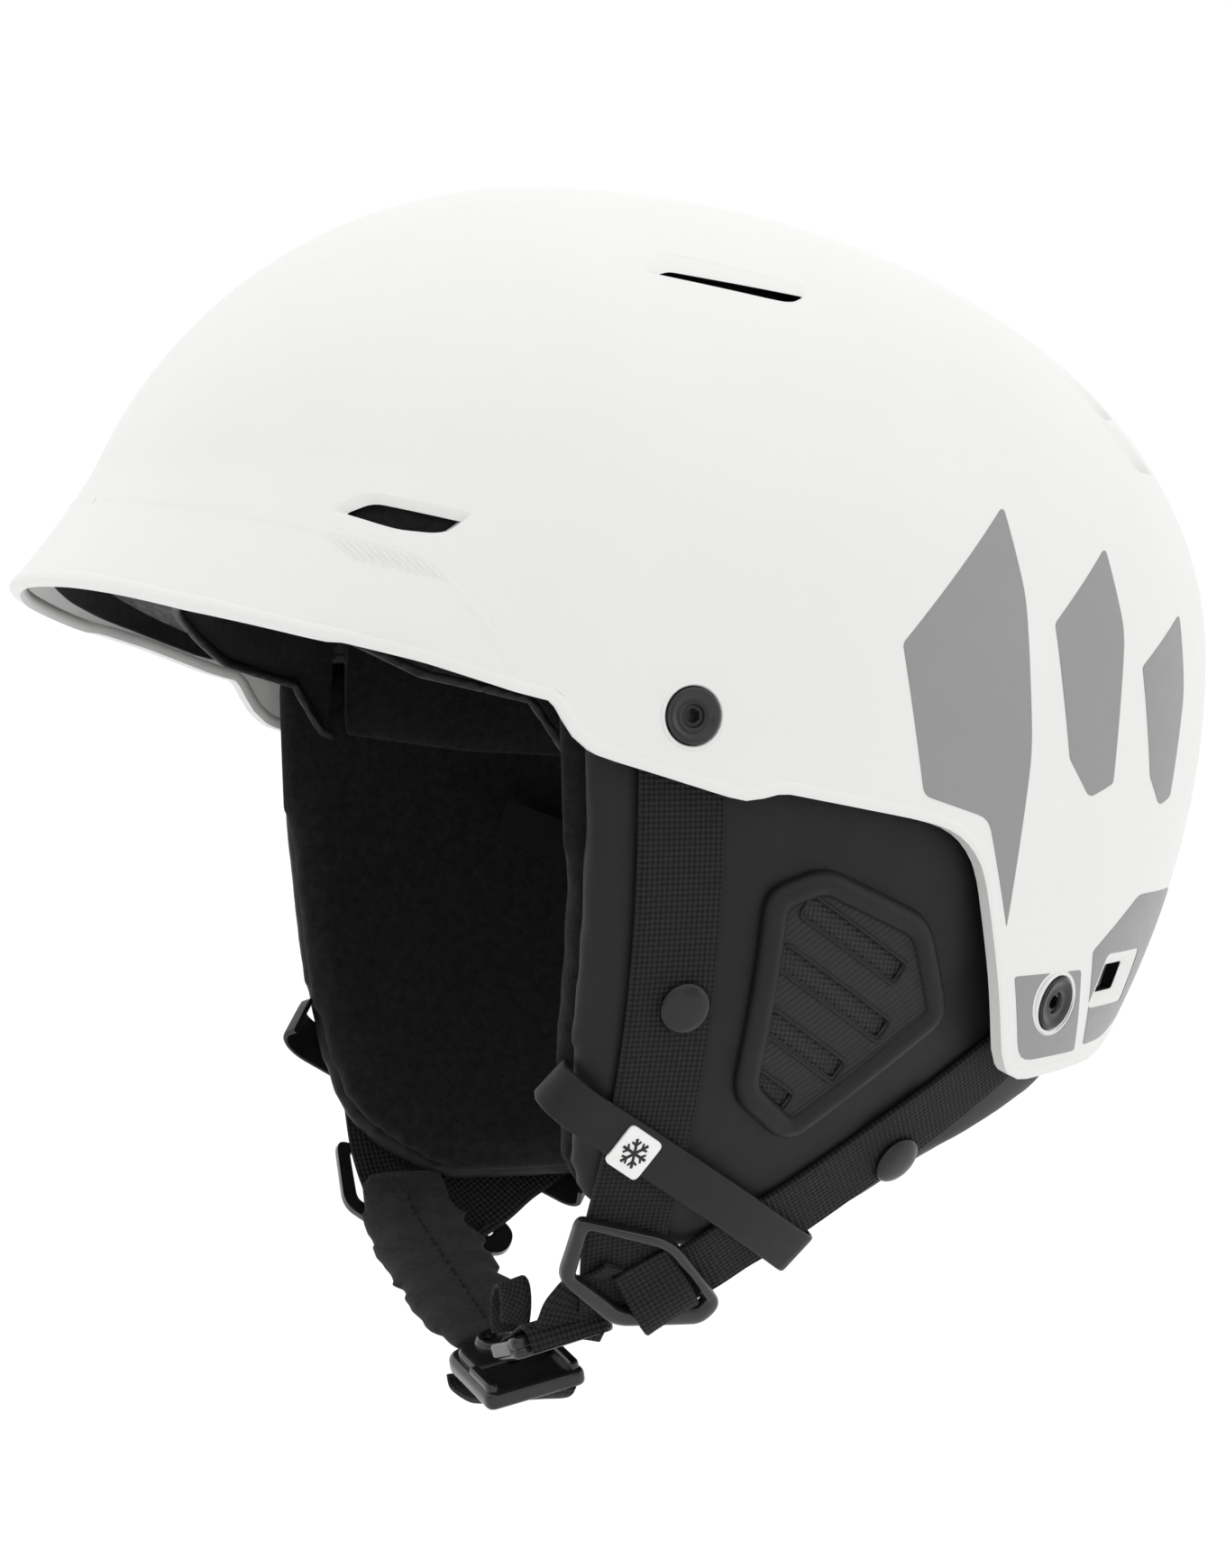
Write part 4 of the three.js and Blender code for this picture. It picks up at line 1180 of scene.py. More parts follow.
# %% Ear pad cover and lining
EAR_PAD = [
    (-23, -16, 1), (-23, -62, 12), (-21.5, -103, 12), (-15, -131, 11), (8, -144.5, 9), (46, -144.5, 9),
    (96, -122.5, 9), (120.5, -112, 9), (116.5, -76, 6), (96, -72, 6), (87, -36, 10), (79, -16, 3),
]  # fmt: skip
EAR_LINING = [
    (-27, -17, 1), (-25.4, -60, 12), (-23.2, -102, 12), (-16.4, -130, 11), (8, -145.5, 9), (46, -145.5, 9),
    (95, -122, 9), (118, -112, 9), (115, -76, 6), (95, -72, 6), (86, -36, 10), (78, -17, 3),
]  # fmt: skip


def pillow_rings(low, high, round_low, round_high, reach_in, fill=16):
    """Rings of a soft slab: both faces fall away to the edge in an elliptical roll of the given width."""
    turn = np.linspace(0, math.pi / 2, 7)
    under = [(s, -reach_in, low) for s in np.linspace(0, 1, fill)[:-1]]
    under += [(1, -reach_in * (1 - math.sin(a)), low + round_low * (1 - math.cos(a))) for a in turn]
    over = [(1, -reach_in * (1 - math.cos(a)), high - round_high * (1 - math.sin(a))) for a in turn]
    over += [(s, -reach_in, high) for s in np.linspace(1, 0, fill)[1:]]
    return under + over


ear_middle = (38, -78)
table = layer_table(outline(EAR_PAD, 8, 8), pillow_rings(-7.9, -0.7, 1.6, 5.2, 7.5), on_ear, ear_middle)
cover = skin("cover", table, softshell_black)
stuff(cover, "ear_cover_cloth_left", softshell_black, voxel=2.6, cap=1.3)


def cover_limit(y, z):
    """How high the cover may stand: it is pressed flat under the webbing and the grille."""
    strap = step_down(-13.0 - y, -1.5, 0.8) * step_down(y - 9.0, -1.5, 2.5)
    grille = step_down(np.abs(y - 43) - 24, -2, 4) * step_down(np.abs(z + 87) - 28, -2, 4)
    rear = step_down(np.abs((z + 109) - 0.62 * (y - 44)) - 10.5, -2, 3) * (y > 8)
    band = step_down(np.abs(z + 109 + 0.6 * (y + 10)) - 5.5, -1.5, 2.5)
    held = np.maximum.reduce([strap, grille, rear * 1.0, band * 0.8])
    return 0.9 - 0.75 * held


keep_under(cover, ear_x, cover_limit)
dress(cover, "ear_cover_cloth_left", softshell_black, 180)
put_pair(cover, "helmet", "softshell_black", "ear_cover_left")

table = layer_table(outline(EAR_LINING, 8, 8), pillow_rings(-15.9, -8.6, 4.2, 1.4, 8.0), on_ear, ear_middle)
lining = skin("lining", table, fleece_black)
stuff(lining, "ear_lining_fleece_left", fleece_black, voxel=3.0, cap=1.2)
put_pair(lining, "helmet", "fleece_black", "ear_lining_left")
print("ear pad faces:", len(cover.data.polygons), len(lining.data.polygons))

# %% [markdown]
# ## Webbing on the ear pads
# Two straps run down each ear pad and meet at the divider under the ear. They are swept along the pad's
# surface with slightly raised selvedges, and carry the measuring attribute that drives the weave.

# %% Front and rear webbing
def laid_strap(name, points, width, thick, lift, steps, material, lip=0.15):
    line = smooth_path(points, steps)
    path = on_ear(line[:, 0], line[:, 1], lift)
    up = on_ear(line[:, 0], line[:, 1], lift + 1) - path
    return sweep(name, path, up, strap_section(width, thick, lip), material, strap=True, angle=50)


FRONT_LINE = [(-1.6, -15.5), (-1.4, -50), (-1.0, -90), (-1.4, -120), (-1.6, -136), (2.2, -153.5)]
REAR_LINE = [(103.5, -85.5), (93, -98), (78, -108.5), (58, -121), (37, -134.5), (27, -140), (18.5, -145.5), (7, -151)]
front_strap = laid_strap("front_webbing_strap_left", FRONT_LINE, 19.8, 1.3, 0.6, 90, webbing_black)
put_pair(front_strap, "helmet", "webbing_black", "front_webbing_left")
rear_strap = laid_strap("rear_webbing_strap_left", REAR_LINE, 18.2, 1.3, 0.62, 90, webbing_black)
put_pair(rear_strap, "helmet", "webbing_black", "rear_webbing_left")

# %% [markdown]
# ## Ear grille
# A soft rubber frame with slanted slots lets sound through the pad. It is one plate with a raised rim.
# The slots are cut right through, and a knitted mesh lies behind them.

# %% Grille, slots and mesh
GRILLE_EDGE = [(19, -60.5, 5), (33, -55.5, 5), (61, -67.5, 5), (70.5, -90.5, 6), (32.5, -118, 6), (16.5, -106, 6)]
GRILLE_SLOTS = ((29, -64, 30), (23.5, -74.5, 34), (22, -88.5, 24), (21, -102, 11))
SLOT_SLOPE = math.radians(-32)
SLOT_WIDTH = 4.6


def slot_outline(y, z, length, width):
    along = np.array([math.cos(SLOT_SLOPE), math.sin(SLOT_SLOPE)])
    across = np.array([-along[1], along[0]]) * width / 2
    start = np.array([y, z])
    corners = [start + across, start - across, start + along * length - across, start + along * length + across]
    return outline([(*c, 0.9) for c in corners], 4, 2)


edge = outline(GRILLE_EDGE, 8, 6)
plate = skin("plate", layer_table(grown(edge, -1.2), plate_rings(0.4, 1.9, 0.3, 12), on_ear), ribbed_rubber)
for y, z, length in GRILLE_SLOTS:
    boolean(plate, prism(slot_outline(y, z, length, SLOT_WIDTH), 60, 130))
modify(plate, "BEVEL", width=0.3 * MM, segments=2, limit_method="ANGLE", angle_limit=math.radians(50))
dress(plate, "grille_plate_left", ribbed_rubber, 40)
put_pair(plate, "helmet", "rubber_black", "ear_grille_left")

FRAME = [
    (-2.9, 0.35), (-2.95, 1.2), (-2.6, 2.1), (-1.9, 2.9), (-1.0, 3.5), (0.0, 3.7), (1.0, 3.55), (1.9, 3.1),
    (2.6, 2.4), (3.0, 1.5), (3.1, 0.35),
]  # fmt: skip
middle_line = grown(edge, -3.0)
path = on_ear(middle_line[:, 0], middle_line[:, 1], 0.0)
up = on_ear(middle_line[:, 0], middle_line[:, 1], 1.0) - path
put_pair(sweep("grille_frame_left", path, up, FRAME, rubber_black, closed=True, angle=50), "helmet", "rubber_black")

SLOT_LIP = [(-0.45, 1.5), (-0.45, 2.1), (-0.2, 2.35), (0.2, 2.35), (0.45, 2.1), (0.45, 1.5)]
lips = []
for y, z, length in GRILLE_SLOTS:
    line = grown(slot_outline(y, z, length, SLOT_WIDTH), 0.45)
    path = on_ear(line[:, 0], line[:, 1], 0.0)
    up = on_ear(line[:, 0], line[:, 1], 1.0) - path
    lips.append(sweep("lip", path, up, SLOT_LIP, rubber_black, closed=True, angle=50))
put_pair(join("grille_slot_lips_left", lips), "helmet", "rubber_black")

sheet = skin("knit", layer_table(grown(edge, -5), plate_rings(0.42, 1.2, 0.2, 12), on_ear), mesh_black)
sheet.name = sheet.data.name = "grille_mesh_left"
put_pair(sheet, "helmet", "mesh_black", "ear_mesh_left")
print("grille slots:", len(GRILLE_SLOTS))

# %% [markdown]
# ## Keeper band and tag
# A flat rubber band wraps over both straps and hooks round the pad's front and lower edges. It carries a
# small white tag with a plain snow star.

# %% Keeper band
def band_path():
    """The band's middle line: it comes up round the pad's front roll, runs flat, and hooks under the pad."""
    slope = -0.5994
    turn = np.radians(np.linspace(4, 88, 9))
    front_y = np.concatenate([[-22.2], -22.9 + 6.9 * (1 - np.cos(turn))])
    front_t = np.concatenate([[-7.4], 2.35 - 6.9 * (1 - np.sin(turn))])
    flat_y = np.linspace(-14.5, 41.0, 40)
    rear_y = 41.0 + 3.2 * np.sin(turn)
    rear_t = 2.35 - 3.2 * (1 - np.cos(turn))
    y = np.concatenate([front_y, flat_y, rear_y, rear_y[-1:] + 0.1])
    t = np.concatenate([front_t, np.full(40, 2.35), rear_t, [-6.0]])
    path = on_ear(y, -103.0 + slope * (y + 24.4), t)
    run = unit(np.gradient(path, axis=0))
    middle_up = ear_normal(10.0, -120.0)
    across = unit(np.cross(run[25], middle_up))
    return path, np.cross(across, run)


BAND_SECTION = [
    (-5.0, 0.0), (-5.2, 0.3), (-5.2, 0.8), (-4.9, 1.12), (-4.2, 1.2), (-2, 1.22), (0, 1.22), (2, 1.22),
    (4.2, 1.2), (4.9, 1.12), (5.2, 0.8), (5.2, 0.3), (5.0, 0.0), (2.5, 0.0), (0.0, 0.0), (-2.5, 0.0),
]  # fmt: skip
path, up = band_path()
keeper = sweep("keeper_strap_left", path, up, BAND_SECTION, rubber_black, angle=50)
put_pair(keeper, "helmet", "rubber_black", "keeper_band_left")


# %% Tag with a snow star
def turned_corners(corners, middle, slope):
    c, s = math.cos(slope), math.sin(slope)
    return [(middle[0] + u * c - v * s, middle[1] + u * s + v * c, *more) for u, v, *more in corners]


TAG_AT, TAG_SLOPE = (-5.0, -116.0), math.radians(-32)
square = turned_corners([(-4.7, -4.7, 1.4), (4.7, -4.7, 1.4), (4.7, 4.7, 1.4), (-4.7, 4.7, 1.4)], TAG_AT, TAG_SLOPE)
tag = skin("tag", layer_table(outline(square, 5, 5), plate_rings(3.4, 4.15, 0.2, 5), on_ear), tag_white)
tag.name = tag.data.name = "snow_tag_left"
put_pair(tag, "helmet", "tag_white", "keeper_tag_left")
arms = []
for turn in (0, 60, 120):
    bar = turned_corners([(-3.3, -0.32, 0.1), (3.3, -0.32, 0.1), (3.3, 0.32, 0.1), (-3.3, 0.32, 0.1)], (0, 0), math.radians(turn))
    bar = turned_corners(bar, TAG_AT, TAG_SLOPE)
    arms.append(skin("arm", layer_table(outline(bar, 2, 3), plate_rings(4.0, 4.27 + turn / 6000, 0.05, 2), on_ear), snap_black))
    for end in (-1, 1):
        for lean in (-1, 1):
            twig = turned_corners([(0, -0.25, 0.1), (1.35, -0.25, 0.1), (1.35, 0.25, 0.1), (0, 0.25, 0.1)], (end * 1.75, 0), math.radians(90 - end * 90 + lean * 50))
            twig = turned_corners(twig, (0, 0), math.radians(turn))
            twig = turned_corners(twig, TAG_AT, TAG_SLOPE)
            arms.append(skin("twig", layer_table(outline(twig, 2, 2), plate_rings(4.0, 4.25, 0.05, 2), on_ear), snap_black))
star = join("snow_star_left", arms)
dress(star, "snow_star_left", snap_black, 40)
put_pair(star, "helmet", "rubber_black")
print("star arms:", 6)

# %% [markdown]
# ## Strap divider
# Under the ear a flat buckle gathers both straps. It is a bevelled frame with one large window, and the
# chin webbing comes out of the window folded over its lower bar.

# %% Divider frame
DIVIDER_EDGE = [(-14.5, -130.5, 2.5), (9, -136.5, 5), (26, -153, 3.5), (22, -157.5, 2.5), (0, -156.5, 4), (-15.5, -145, 3)]
DIVIDER_WINDOW = [
    (-11.6, -133.0, 1.5), (7.6, -138.6, 3), (21.2, -151.6, 0.9), (19.6, -153.6, 0.7), (1.2, -152.8, 2), (-12.0, -144, 1.5),
]  # fmt: skip
FRAME_WALL = [
    (0.0, 2.3), (0.0, 3.9), (0.05, 4.4), (0.16, 4.8), (0.3, 5.0), (0.5, 5.05), (0.7, 5.0), (0.86, 4.75),
    (0.96, 4.3), (1.0, 3.7), (1.0, 2.3), (0.5, 2.3),
]  # fmt: skip
outer, inner = outline(DIVIDER_EDGE, 8, 6), outline(DIVIDER_WINDOW, 8, 6)
table = np.array([on_ear(*(outer + (inner - outer) * share).T, height) for share, height in FRAME_WALL])
divider = loop("divider_frame_left", table.transpose(1, 0, 2), hard_black, angle=50)
put_pair(divider, "helmet", "hard_black", "strap_divider_left")


# %% Webbing folded through the divider
def bent_strap(name, points, ups, width, thick, steps, material, tilt=0.0):
    """A strap along points in space. ups are its face directions at those points."""
    line = smooth_path(points, steps)
    share = np.linspace(0, 1, steps)
    ups = np.array(ups, float)
    up = np.column_stack([np.interp(share, np.linspace(0, 1, len(ups)), ups[:, i]) for i in range(3)])
    return sweep(name, line, up, strap_section(width, thick, 0.12), material, strap=True, angle=50)


def ear_points(points):
    return [on_ear(np.array(y), np.array(z), t) for y, z, t in points]


def ear_ups(points):
    return [ear_normal(y, z) for y, z, _ in points]


WRAP = [
    (3.0, -142.5, 1.95), (6.0, -146.0, 2.9), (8.8, -149.2, 4.7), (11.0, -151.8, 5.5), (12.6, -153.7, 5.1), (13.5, -154.9, 3.4),
    (13.2, -155.0, 0.6),
]  # fmt: skip
wrap_ups = ear_ups(WRAP)
for i, drop in ((4, 0.5), (5, 1.6), (6, 3.5)):
    wrap_ups[i] = unit(wrap_ups[i] + np.array([0, 0.4 * drop, -0.55 * drop]))
fold = bent_strap("divider_webbing_left", ear_points(WRAP), wrap_ups, 14.0, 1.2, 48, webbing_black)
put_pair(fold, "helmet", "webbing_black")
print("divider and folds done")

# %% [markdown]
# ## Chin sleeve
# The chin strap runs inside a soft fleece sleeve, quilted along its middle. It is a swept flat tube with a
# wavy edge, inflated like the pads. A row of stitches follows the seam.

# %% Chin sleeve and stitches
SLEEVE_PATH = [
    (-66.5, -2.6, -138.0), (-62.5, -3.0, -143.0), (-55, -4, -148.4), (-44, -4.6, -152.5), (-30, -5.6, -156.6),
    (-12, -7, -161.6), (6, -8.5, -166.4), (15.5, -9.5, -168.2),
]  # fmt: skip
sleeve_line = smooth_path(SLEEVE_PATH, 64)
sleeve_run = unit(np.gradient(sleeve_line, axis=0))
sleeve_up = unit(np.cross(sleeve_run, np.array([0.0, 1.0, 0.2])))
sleeve_up *= np.sign(sleeve_up[:, 2])[:, None]
turn = np.linspace(0, 2 * math.pi, 28, endpoint=False)
sections = []
for i in range(64):
    end = math.sin(math.pi * (i + 0.7) / 64.4) ** 0.16
    wave = 0.8 * math.sin(i * 0.62) + 0.4 * math.sin(i * 0.27 + 1)
    half_width, half_thick = 14.3 + 0.3 * wave, 2.7 + 0.18 * math.sin(i * 0.62 + 1.2)
    across = half_width * np.sign(np.cos(turn)) * np.abs(np.cos(turn)) ** 0.8
    across += np.where(np.cos(turn) < 0, -0.55 * wave, 0) * np.abs(np.cos(turn))
    up = half_thick * np.sign(np.sin(turn)) * np.abs(np.sin(turn)) ** 0.8
    up -= np.sign(up) * 0.9 * np.exp(-((across / 1.8) ** 2))
    sections.append(np.column_stack([across, up]) * end)
sleeve = sweep("sleeve", sleeve_line, sleeve_up, np.array(sections), fleece_black)
stuff(sleeve, "chin_sleeve_fleece", sleeve_black, voxel=2.2, pressure=4.0, cap=1.0)
put(sleeve, "chin_strap", "fleece_black", "chin_sleeve")

stitches = []
for at in np.arange(6, 60, 2.6):
    i = int(at)
    start, end_ = sleeve_line[i], sleeve_line[min(i + 1, 63)]
    middle = start + sleeve_up[i] * 3.2
    run = unit(end_ - start)
    fine = np.array([middle + run * s + sleeve_up[i] * (0.3 - 0.5 * (s / 1.15) ** 2) for s in np.linspace(-1.15, 1.15, 7)])
    size = np.sqrt(np.maximum(1 - np.linspace(-0.97, 0.97, 7) ** 2, 0.03))
    ring = np.array([(0.42 * math.cos(a), 0.3 * math.sin(a)) for a in np.linspace(0, 2 * math.pi, 8, endpoint=False)])
    stitches.append(sweep("stitch", fine, np.repeat(sleeve_up[i][None], 7, 0), ring[None] * size[:, None, None], ribbon_black, strap=True, angle=180))
seam_row = join("sleeve_stitches", stitches)
put(seam_row, "chin_strap", "webbing_black")
print("stitches:", len(stitches))

# %% [markdown]
# ## Chin buckle
# The buckle has two moulded halves. The base is a rounded tray with a ring boss, and the tongue is a
# wedge-shaped bar with the webbing wrapped over it. A short twisted ribbon is the pull for opening it.

# %% Buckle base and tongue
def standing(centre, tilt, roll):
    """A surface for layer_table: a flat work plane at a centre, tilted about Y and rolled about X."""
    turn = np.array(Matrix.Rotation(math.radians(tilt), 3, "Y") @ Matrix.Rotation(math.radians(roll), 3, "X"))

    def surface(x, y, height):
        x, y, height = np.broadcast_arrays(np.asarray(x, float), y, height)
        return np.stack([x, y, height], -1) @ turn.T + centre

    return surface, turn


def soft_block(name, corners, low, high, edge, surface, material, crown=0.0, lower_edge=None):
    """A moulded block: an outline with rounded upper and lower edges."""
    rings = plate_rings(low, high, edge, 7, crown)
    under = edge if lower_edge is None else lower_edge
    lower = [(1, -under * (1 - math.sin(a)), low + under * (1 - math.cos(a))) for a in np.radians((0, 30, 60, 90))]
    rings = [(s, -under, low) for s in np.linspace(0, 1, 8)[:-1]] + lower + [r for r in rings if r[2] > low + under]
    return skin(name, layer_table(outline(corners, 7, 5), rings, surface), material, angle=50)


base_plane, base_turn = standing(np.array([29.5, -10.0, -171.6]), 12, 13)
tray = soft_block("tray", [(-15, -12, 6.5), (15, -12, 2.5), (15, 12, 2.5), (-15, 12, 6.5)], -3.0, 1.1, 1.3, base_plane, hard_black)
deck = soft_block("deck", [(-13, -10, 6), (1.5, -10, 2), (1.5, 10, 2), (-13, 10, 6)], 0.4, 2.5, 0.8, base_plane, hard_black, 0.15)
lip = soft_block("lip", [(1.2, -11.2, 1), (14, -11.2, 2), (14, -8.6, 1), (1.2, -8.6, 1)], 0.4, 2.9, 0.7, base_plane, hard_black)
lip_far = soft_block("lip", [(1.2, 8.6, 1), (14, 8.6, 1), (14, 11.2, 2), (1.2, 11.2, 1)], 0.4, 2.9, 0.7, base_plane, hard_black)
BOSS = [(0, -0.5), (5.4, -0.5), (5.5, 2.4), (5.3, 3.2), (4.8, 3.8), (4.1, 4.05), (3.4, 3.85), (2.9, 3.2), (2.6, 2.2), (0, 2.2)]
boss_at = base_plane(-9.0, 0.0, 0.0)
boss = turned("boss", BOSS, boss_at, base_turn[:, 2], hard_black, 40, 60)
for part in (tray, deck, boss):
    hole = [(2.3 * math.cos(a), 2.3 * math.sin(a)) for a in np.linspace(0, 2 * math.pi, 24, endpoint=False)]
    cutter = skin("hole", np.array([base_plane(*(np.array(hole) * s).T, h) for s, h in ((0, -8), (1, -8), (1, 8), (0, 8))]), hard_black)
    boolean(part, cutter)
base_piece = join("buckle_base_moulding", [tray, deck, lip, lip_far, boss])
dress(base_piece, "buckle_base_moulding", hard_black, 40)
put(base_piece, "chin_strap", "hard_black", "buckle_base")

tongue_plane, tongue_turn = standing(np.array([47.5, -9.5, -163.2]), -12, 13)
wedge = soft_block("wedge", [(-4.5, -10.8, 3), (12.5, -12.5, 3), (12.5, 12.5, 3), (-4.5, 10.8, 3)], -2.5, 0.2, 1.0, tongue_plane, hard_black)
bar = soft_block("bar", [(8.2, -12.4, 1.5), (12.6, -12.4, 2), (12.6, 12.4, 2), (8.2, 12.4, 1.5)], -0.5, 2.5, 1.0, tongue_plane, hard_black)
near_rail = soft_block("rail", [(-4, -12.0, 2), (11, -12.6, 2), (11, -10.0, 1), (-4, -9.6, 1)], -1.5, 2.1, 0.9, tongue_plane, hard_black)
far_rail = soft_block("rail", [(-4, 9.6, 1), (11, 10.0, 1), (11, 12.6, 2), (-4, 12.0, 2)], -1.5, 2.1, 0.9, tongue_plane, hard_black)
tongue_piece = join("buckle_tongue_moulding", [wedge, bar, near_rail, far_rail])
dress(tongue_piece, "buckle_tongue_moulding", hard_black, 40)
put(tongue_piece, "buckle_release", "hard_black", "buckle_tongue")


def plane_strap(name, points, width, thick, steps, plane, turn, material, sideways=0.0):
    """A strap laid along (x, height) points of a work plane, as wide as it is across Y."""
    spots = smooth_path([plane(x, sideways, h) for x, h in points], steps)
    run = unit(np.gradient(spots, axis=0))
    up = np.cross(run, turn[:, 1])
    return sweep(name, spots, up, strap_section(width, thick, 0.1), material, strap=True, angle=50)


OVER = [(-3.2, 0.9), (-1.5, 1.6), (1, 1.9), (4, 2.2), (8.6, 3.2), (11.6, 3.5), (13.4, 2.4), (14.0, 0.3), (13.8, -2.0)]
cover_strap = plane_strap("tongue_webbing", OVER, 18.6, 1.1, 44, tongue_plane, tongue_turn, webbing_black)
put(cover_strap, "buckle_release", "webbing_black")
print("buckle faces:", len(base_piece.data.polygons) + len(tongue_piece.data.polygons))

# %% Pull ribbon and chin webbing
RIBBON = [(36.0, -14, -163.2), (35.2, -14, -159.5), (35, -14, -156), (37.4, -14, -152.2), (40.4, -14, -152.6), (41.6, -14, -156), (41.0, -14, -160.6)]
line = smooth_path(RIBBON, 60)
run = unit(np.gradient(line, axis=0))
twist = np.radians(np.linspace(-18, 42, 60))
flat_up = unit(np.cross(run, np.array([0.0, 1.0, 0.0])))
ribbon_up = flat_up * np.cos(twist)[:, None] + np.cross(run, flat_up) * np.sin(twist)[:, None]
ribbon = sweep("twisted_pull", line, ribbon_up, strap_section(7.0, 0.9, 0.05, 6), ribbon_black, strap=True, angle=60)
put(ribbon, "buckle_release", "webbing_black", "pull_ribbon")

fold = smooth_path([(13.2, -10, -175.6), (15.6, -10, -178.0), (27, -10, -178.9), (39, -10, -177.0), (42.4, -10, -174.8)], 44)
run = unit(np.gradient(fold, axis=0))
fold_up = -np.cross(run, np.array([0.0, 1.0, 0.0]))
fold_up *= -np.sign(fold_up[:, 2])[:, None]
piece = sweep("chin_webbing_under", fold, fold_up, strap_section(20, 1.2, 0.12), webbing_black, strap=True, angle=50)
put(piece, "chin_strap", "webbing_black", "chin_webbing_fold")

link = smooth_path([(58.6, -9.0, -161.0), (60.4, -8, -157.6), (62.0, -6.6, -153.8), (64.5, -3.0, -149.5), (69.5, 1.5, -145.5)], 40)
run = unit(np.gradient(link, axis=0))
link_up = np.cross(np.array([0.0, 1.0, 0.12]), run)
link_up *= np.sign(link_up[:, 0])[:, None]
piece = sweep("chin_webbing_link", link, link_up, strap_section(18.0, 1.1, 0.12), webbing_black, strap=True, angle=50)
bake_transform(piece)
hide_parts("chin_webbing_left")
print("chin strap done")

# %% [markdown]
# ## Nape pad, fit dial and goggle clip
# Behind the head a pad rides on the fit band, with a knurled dial to wind it in. On the back of the
# shell a rubber strap with a snap cap holds the goggle band.

# %% Nape pad
BAND_CENTRE = np.array([0.0, 45.0, -60.0])
BAND_TURN = np.array(Matrix.Rotation(math.radians(-20), 3, "X"))


def band_place(radius, angle, height):
    """A place on the fit band's own cylinder. Angle 0 is the rear."""
    radius, angle, height = np.broadcast_arrays(np.asarray(radius, float), angle, height)
    return np.stack([radius * np.sin(angle), radius * np.cos(angle), height], -1) @ BAND_TURN.T + BAND_CENTRE


rings = []
for angle in np.radians(np.linspace(-25.5, 25.5, 34)):
    end = math.sin(math.pi * min(max((angle / math.radians(51)) + 0.5, 0.015), 0.985)) ** 0.25
    ring = []
    for share in np.linspace(0, 1, 9):
        ring.append(band_place(72.2, angle, (-17.2 + 32.4 * share) * end - 1 + end))
    for share in np.linspace(0.96, 0.04, 11):
        swell = (1 - abs(2 * share - 1) ** 4) ** 0.5 * end
        ring.append(band_place(72.2 - 4.6 * max(swell, 0.15), angle, (-17.2 + 32.4 * share) * end - 1 + end))
    rings.append(ring)
nape = capped("nape", np.array(rings), fleece_black)
stuff(nape, "nape_pad_fleece", fleece_black, voxel=2.4, cap=0.7)
put(nape, "helmet", "fleece_black", "nape_pad")

# %% Fit dial
turn = np.linspace(0, 2 * math.pi, 144, endpoint=False)
knurl = 0.5 * (1 - np.cos(18 * turn)) ** 0.7
DIAL = [
    (0, 79.3, 0), (12.2, 79.3, 0.3), (12.9, 79.8, 0.7), (13.0, 80.6, 0.9), (13.0, 84.6, 0.9), (12.9, 86.0, 0.8), (12.4, 86.8, 0.5),
    (11.4, 87.1, 0.1), (9.6, 87.1, 0), (9.2, 86.9, 0), (8.9, 86.3, 0), (8.2, 86.0, 0), (4.0, 85.9, 0), (0, 85.9, 0),
]  # fmt: skip
rings = []
for radius, depth, cut in DIAL:
    r = np.maximum(radius - cut * knurl * 0.8, 0)
    rings.append(np.stack([r * np.sin(turn), np.full(144, depth), r * np.cos(turn)], -1) @ BAND_TURN.T + BAND_CENTRE)
dial = skin("dial_knurled", np.array(rings), rubber_black, angle=50)
put(dial, "dial", "rubber_black", "fit_dial")
pointer = [(-1.1, 3.5, 0.5), (1.1, 3.5, 0.5), (0.5, 7.2, 0.3), (-0.5, 7.2, 0.3)]


def dial_face(x, y, height):
    x, y, height = np.broadcast_arrays(np.asarray(x, float), y, height)
    return np.stack([x, 85.9 + height, y], -1) @ BAND_TURN.T + BAND_CENTRE


mark = skin("dial_pointer", layer_table(outline(pointer, 3, 3), plate_rings(-0.2, 0.45, 0.12, 3), dial_face), tag_white)
put(mark, "dial", "tag_white")

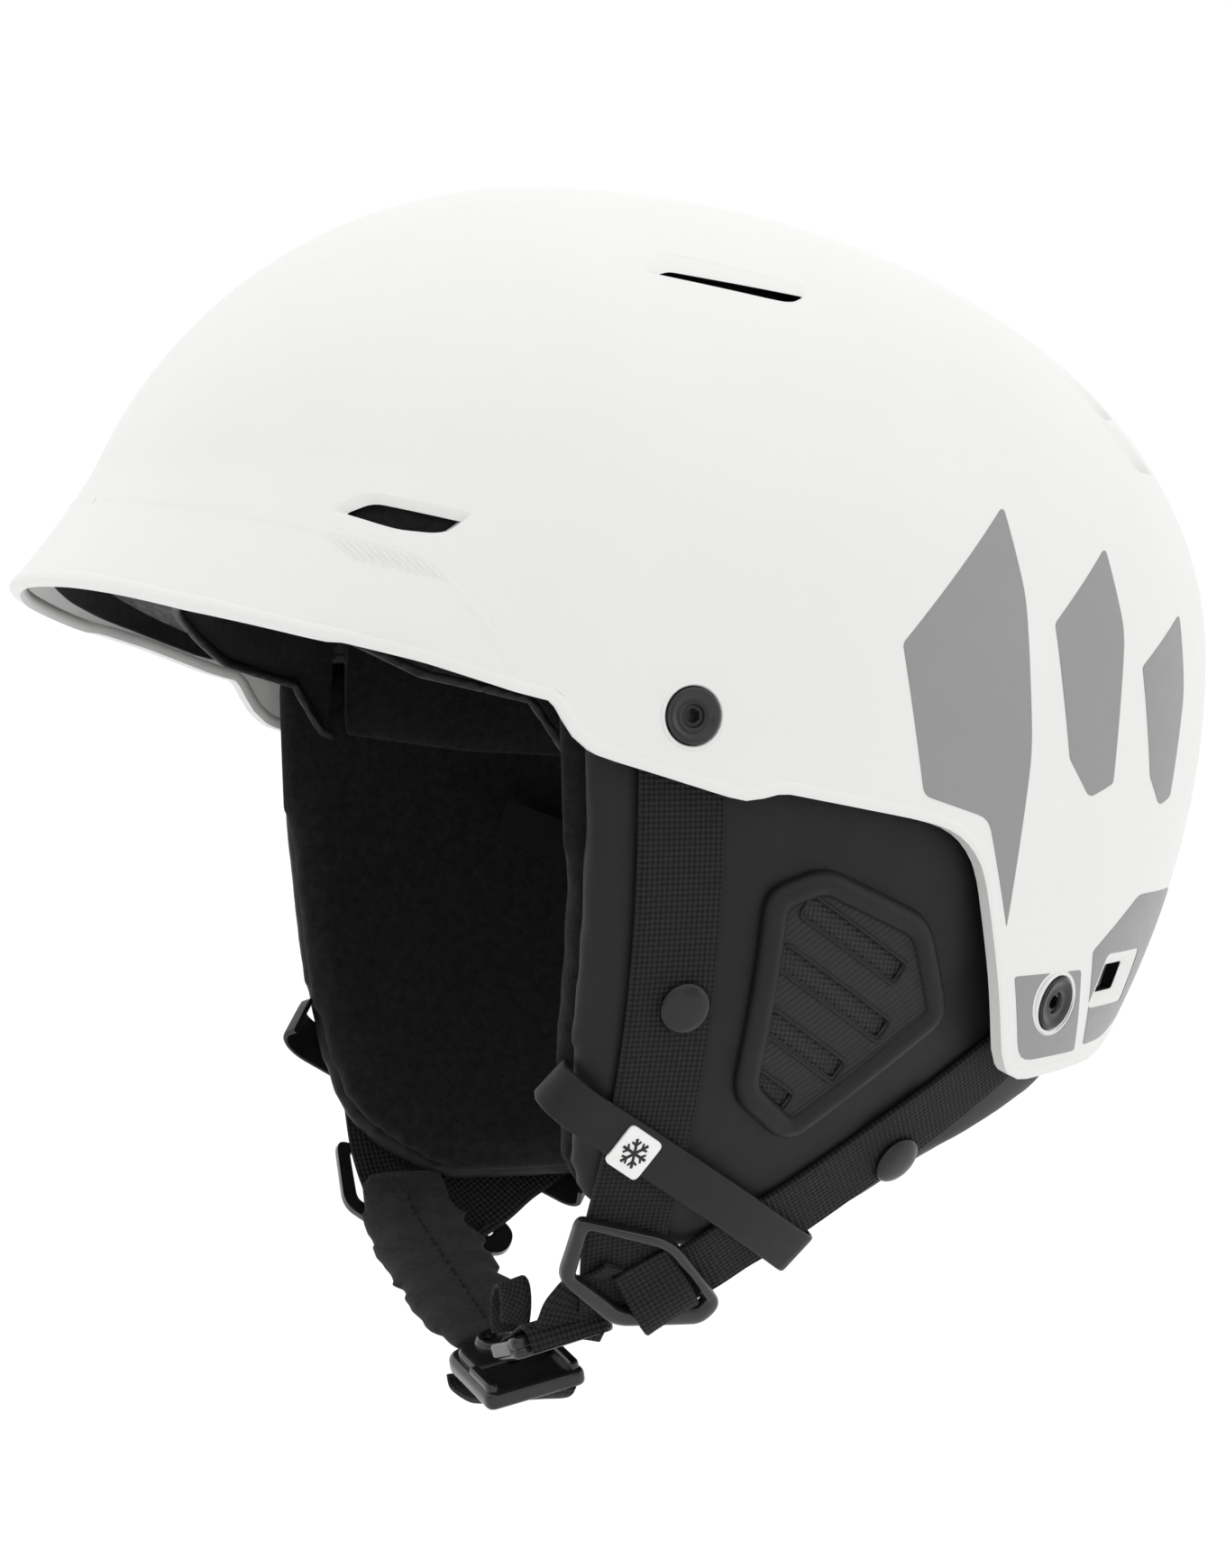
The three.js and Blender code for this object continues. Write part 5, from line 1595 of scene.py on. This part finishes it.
# %% Goggle clip
CLIP_STRAP = [(-12, -83.6, 4), (12, -83.6, 4), (12, -43.8, 1.5), (-12, -43.8, 1.5)]
CLIP_ANCHOR = [(-12.8, -42.9, 1.5), (12.8, -42.9, 1.5), (12.8, -34.2, 3), (-12.8, -34.2, 3)]
strap_rings = plate_rings(1.9, 3.5, 0.5, 12)
clip = skin("clip", layer_table(outline(CLIP_STRAP, 6, 10), strap_rings, on_back), rubber_black, angle=40)
clip.name = clip.data.name = "goggle_strap"
put(clip, "goggle_clip", "rubber_black", "goggle_clip_strap")
grip = []
for z in (-58, -62, -66):
    ridge = [(-8.5, z - 0.9, 0.6), (8.5, z - 0.9, 0.6), (8.5, z + 0.9, 0.6), (-8.5, z + 0.9, 0.6)]
    grip.append(skin("ridge", layer_table(outline(ridge, 3, 8), plate_rings(3.2, 4.1, 0.4, 5), on_back), rubber_black))
put(join("goggle_strap_ridges", grip), "goggle_clip", "rubber_black")
anchor = skin("anchor", layer_table(outline(CLIP_ANCHOR, 6, 8), plate_rings(0.4, 3.2, 0.8, 8), on_back), hard_black)
anchor.name = anchor.data.name = "goggle_anchor"
put(anchor, "helmet", "hard_black", "goggle_clip_anchor")
seat = on_back(np.array(0.0), np.array(-77.0), 0.0)
out = on_back(np.array(0.0), np.array(-77.0), 1.0) - seat
cap = turned("goggle_snap_cap", [(0, 3.3), (5.4, 3.3), (5.9, 3.8), (6.0, 4.3), (5.6, 4.9), (4.6, 5.4), (3.2, 5.7), (1.6, 5.85), (0, 5.9)], seat, out, snap_black, 40, 60)
put(cap, "goggle_clip", "hard_black", "goggle_clip_cap")
stud = turned("goggle_snap_stud", [(0, 0.3), (4.6, 0.3), (5.0, 0.6), (4.8, 1.1), (3.4, 1.4), (0, 1.45)], seat, out, snap_black, 32, 60)
put(stud, "helmet", "hard_black", "goggle_clip_stud")
print("rear pieces done")

# %% [markdown]
# ## Finish for what is left of the CAD
# The toothed arms and the cradle of the fit band are already exact mouldings, so they keep their CAD
# shape and take the black plastic.

# %% Carried-over pieces
arm_black = moulded("arm_black", (0.006, 0.006, 0.006), 0.6, 0.6, 0.02, mottle=0.3, Specular_IOR_Level=0.2)
for name in ("fit_arm_left", "fit_arm_right", "fit_cradle"):
    nodes[name].data.materials.clear()
    nodes[name].data.materials.append(arm_black)
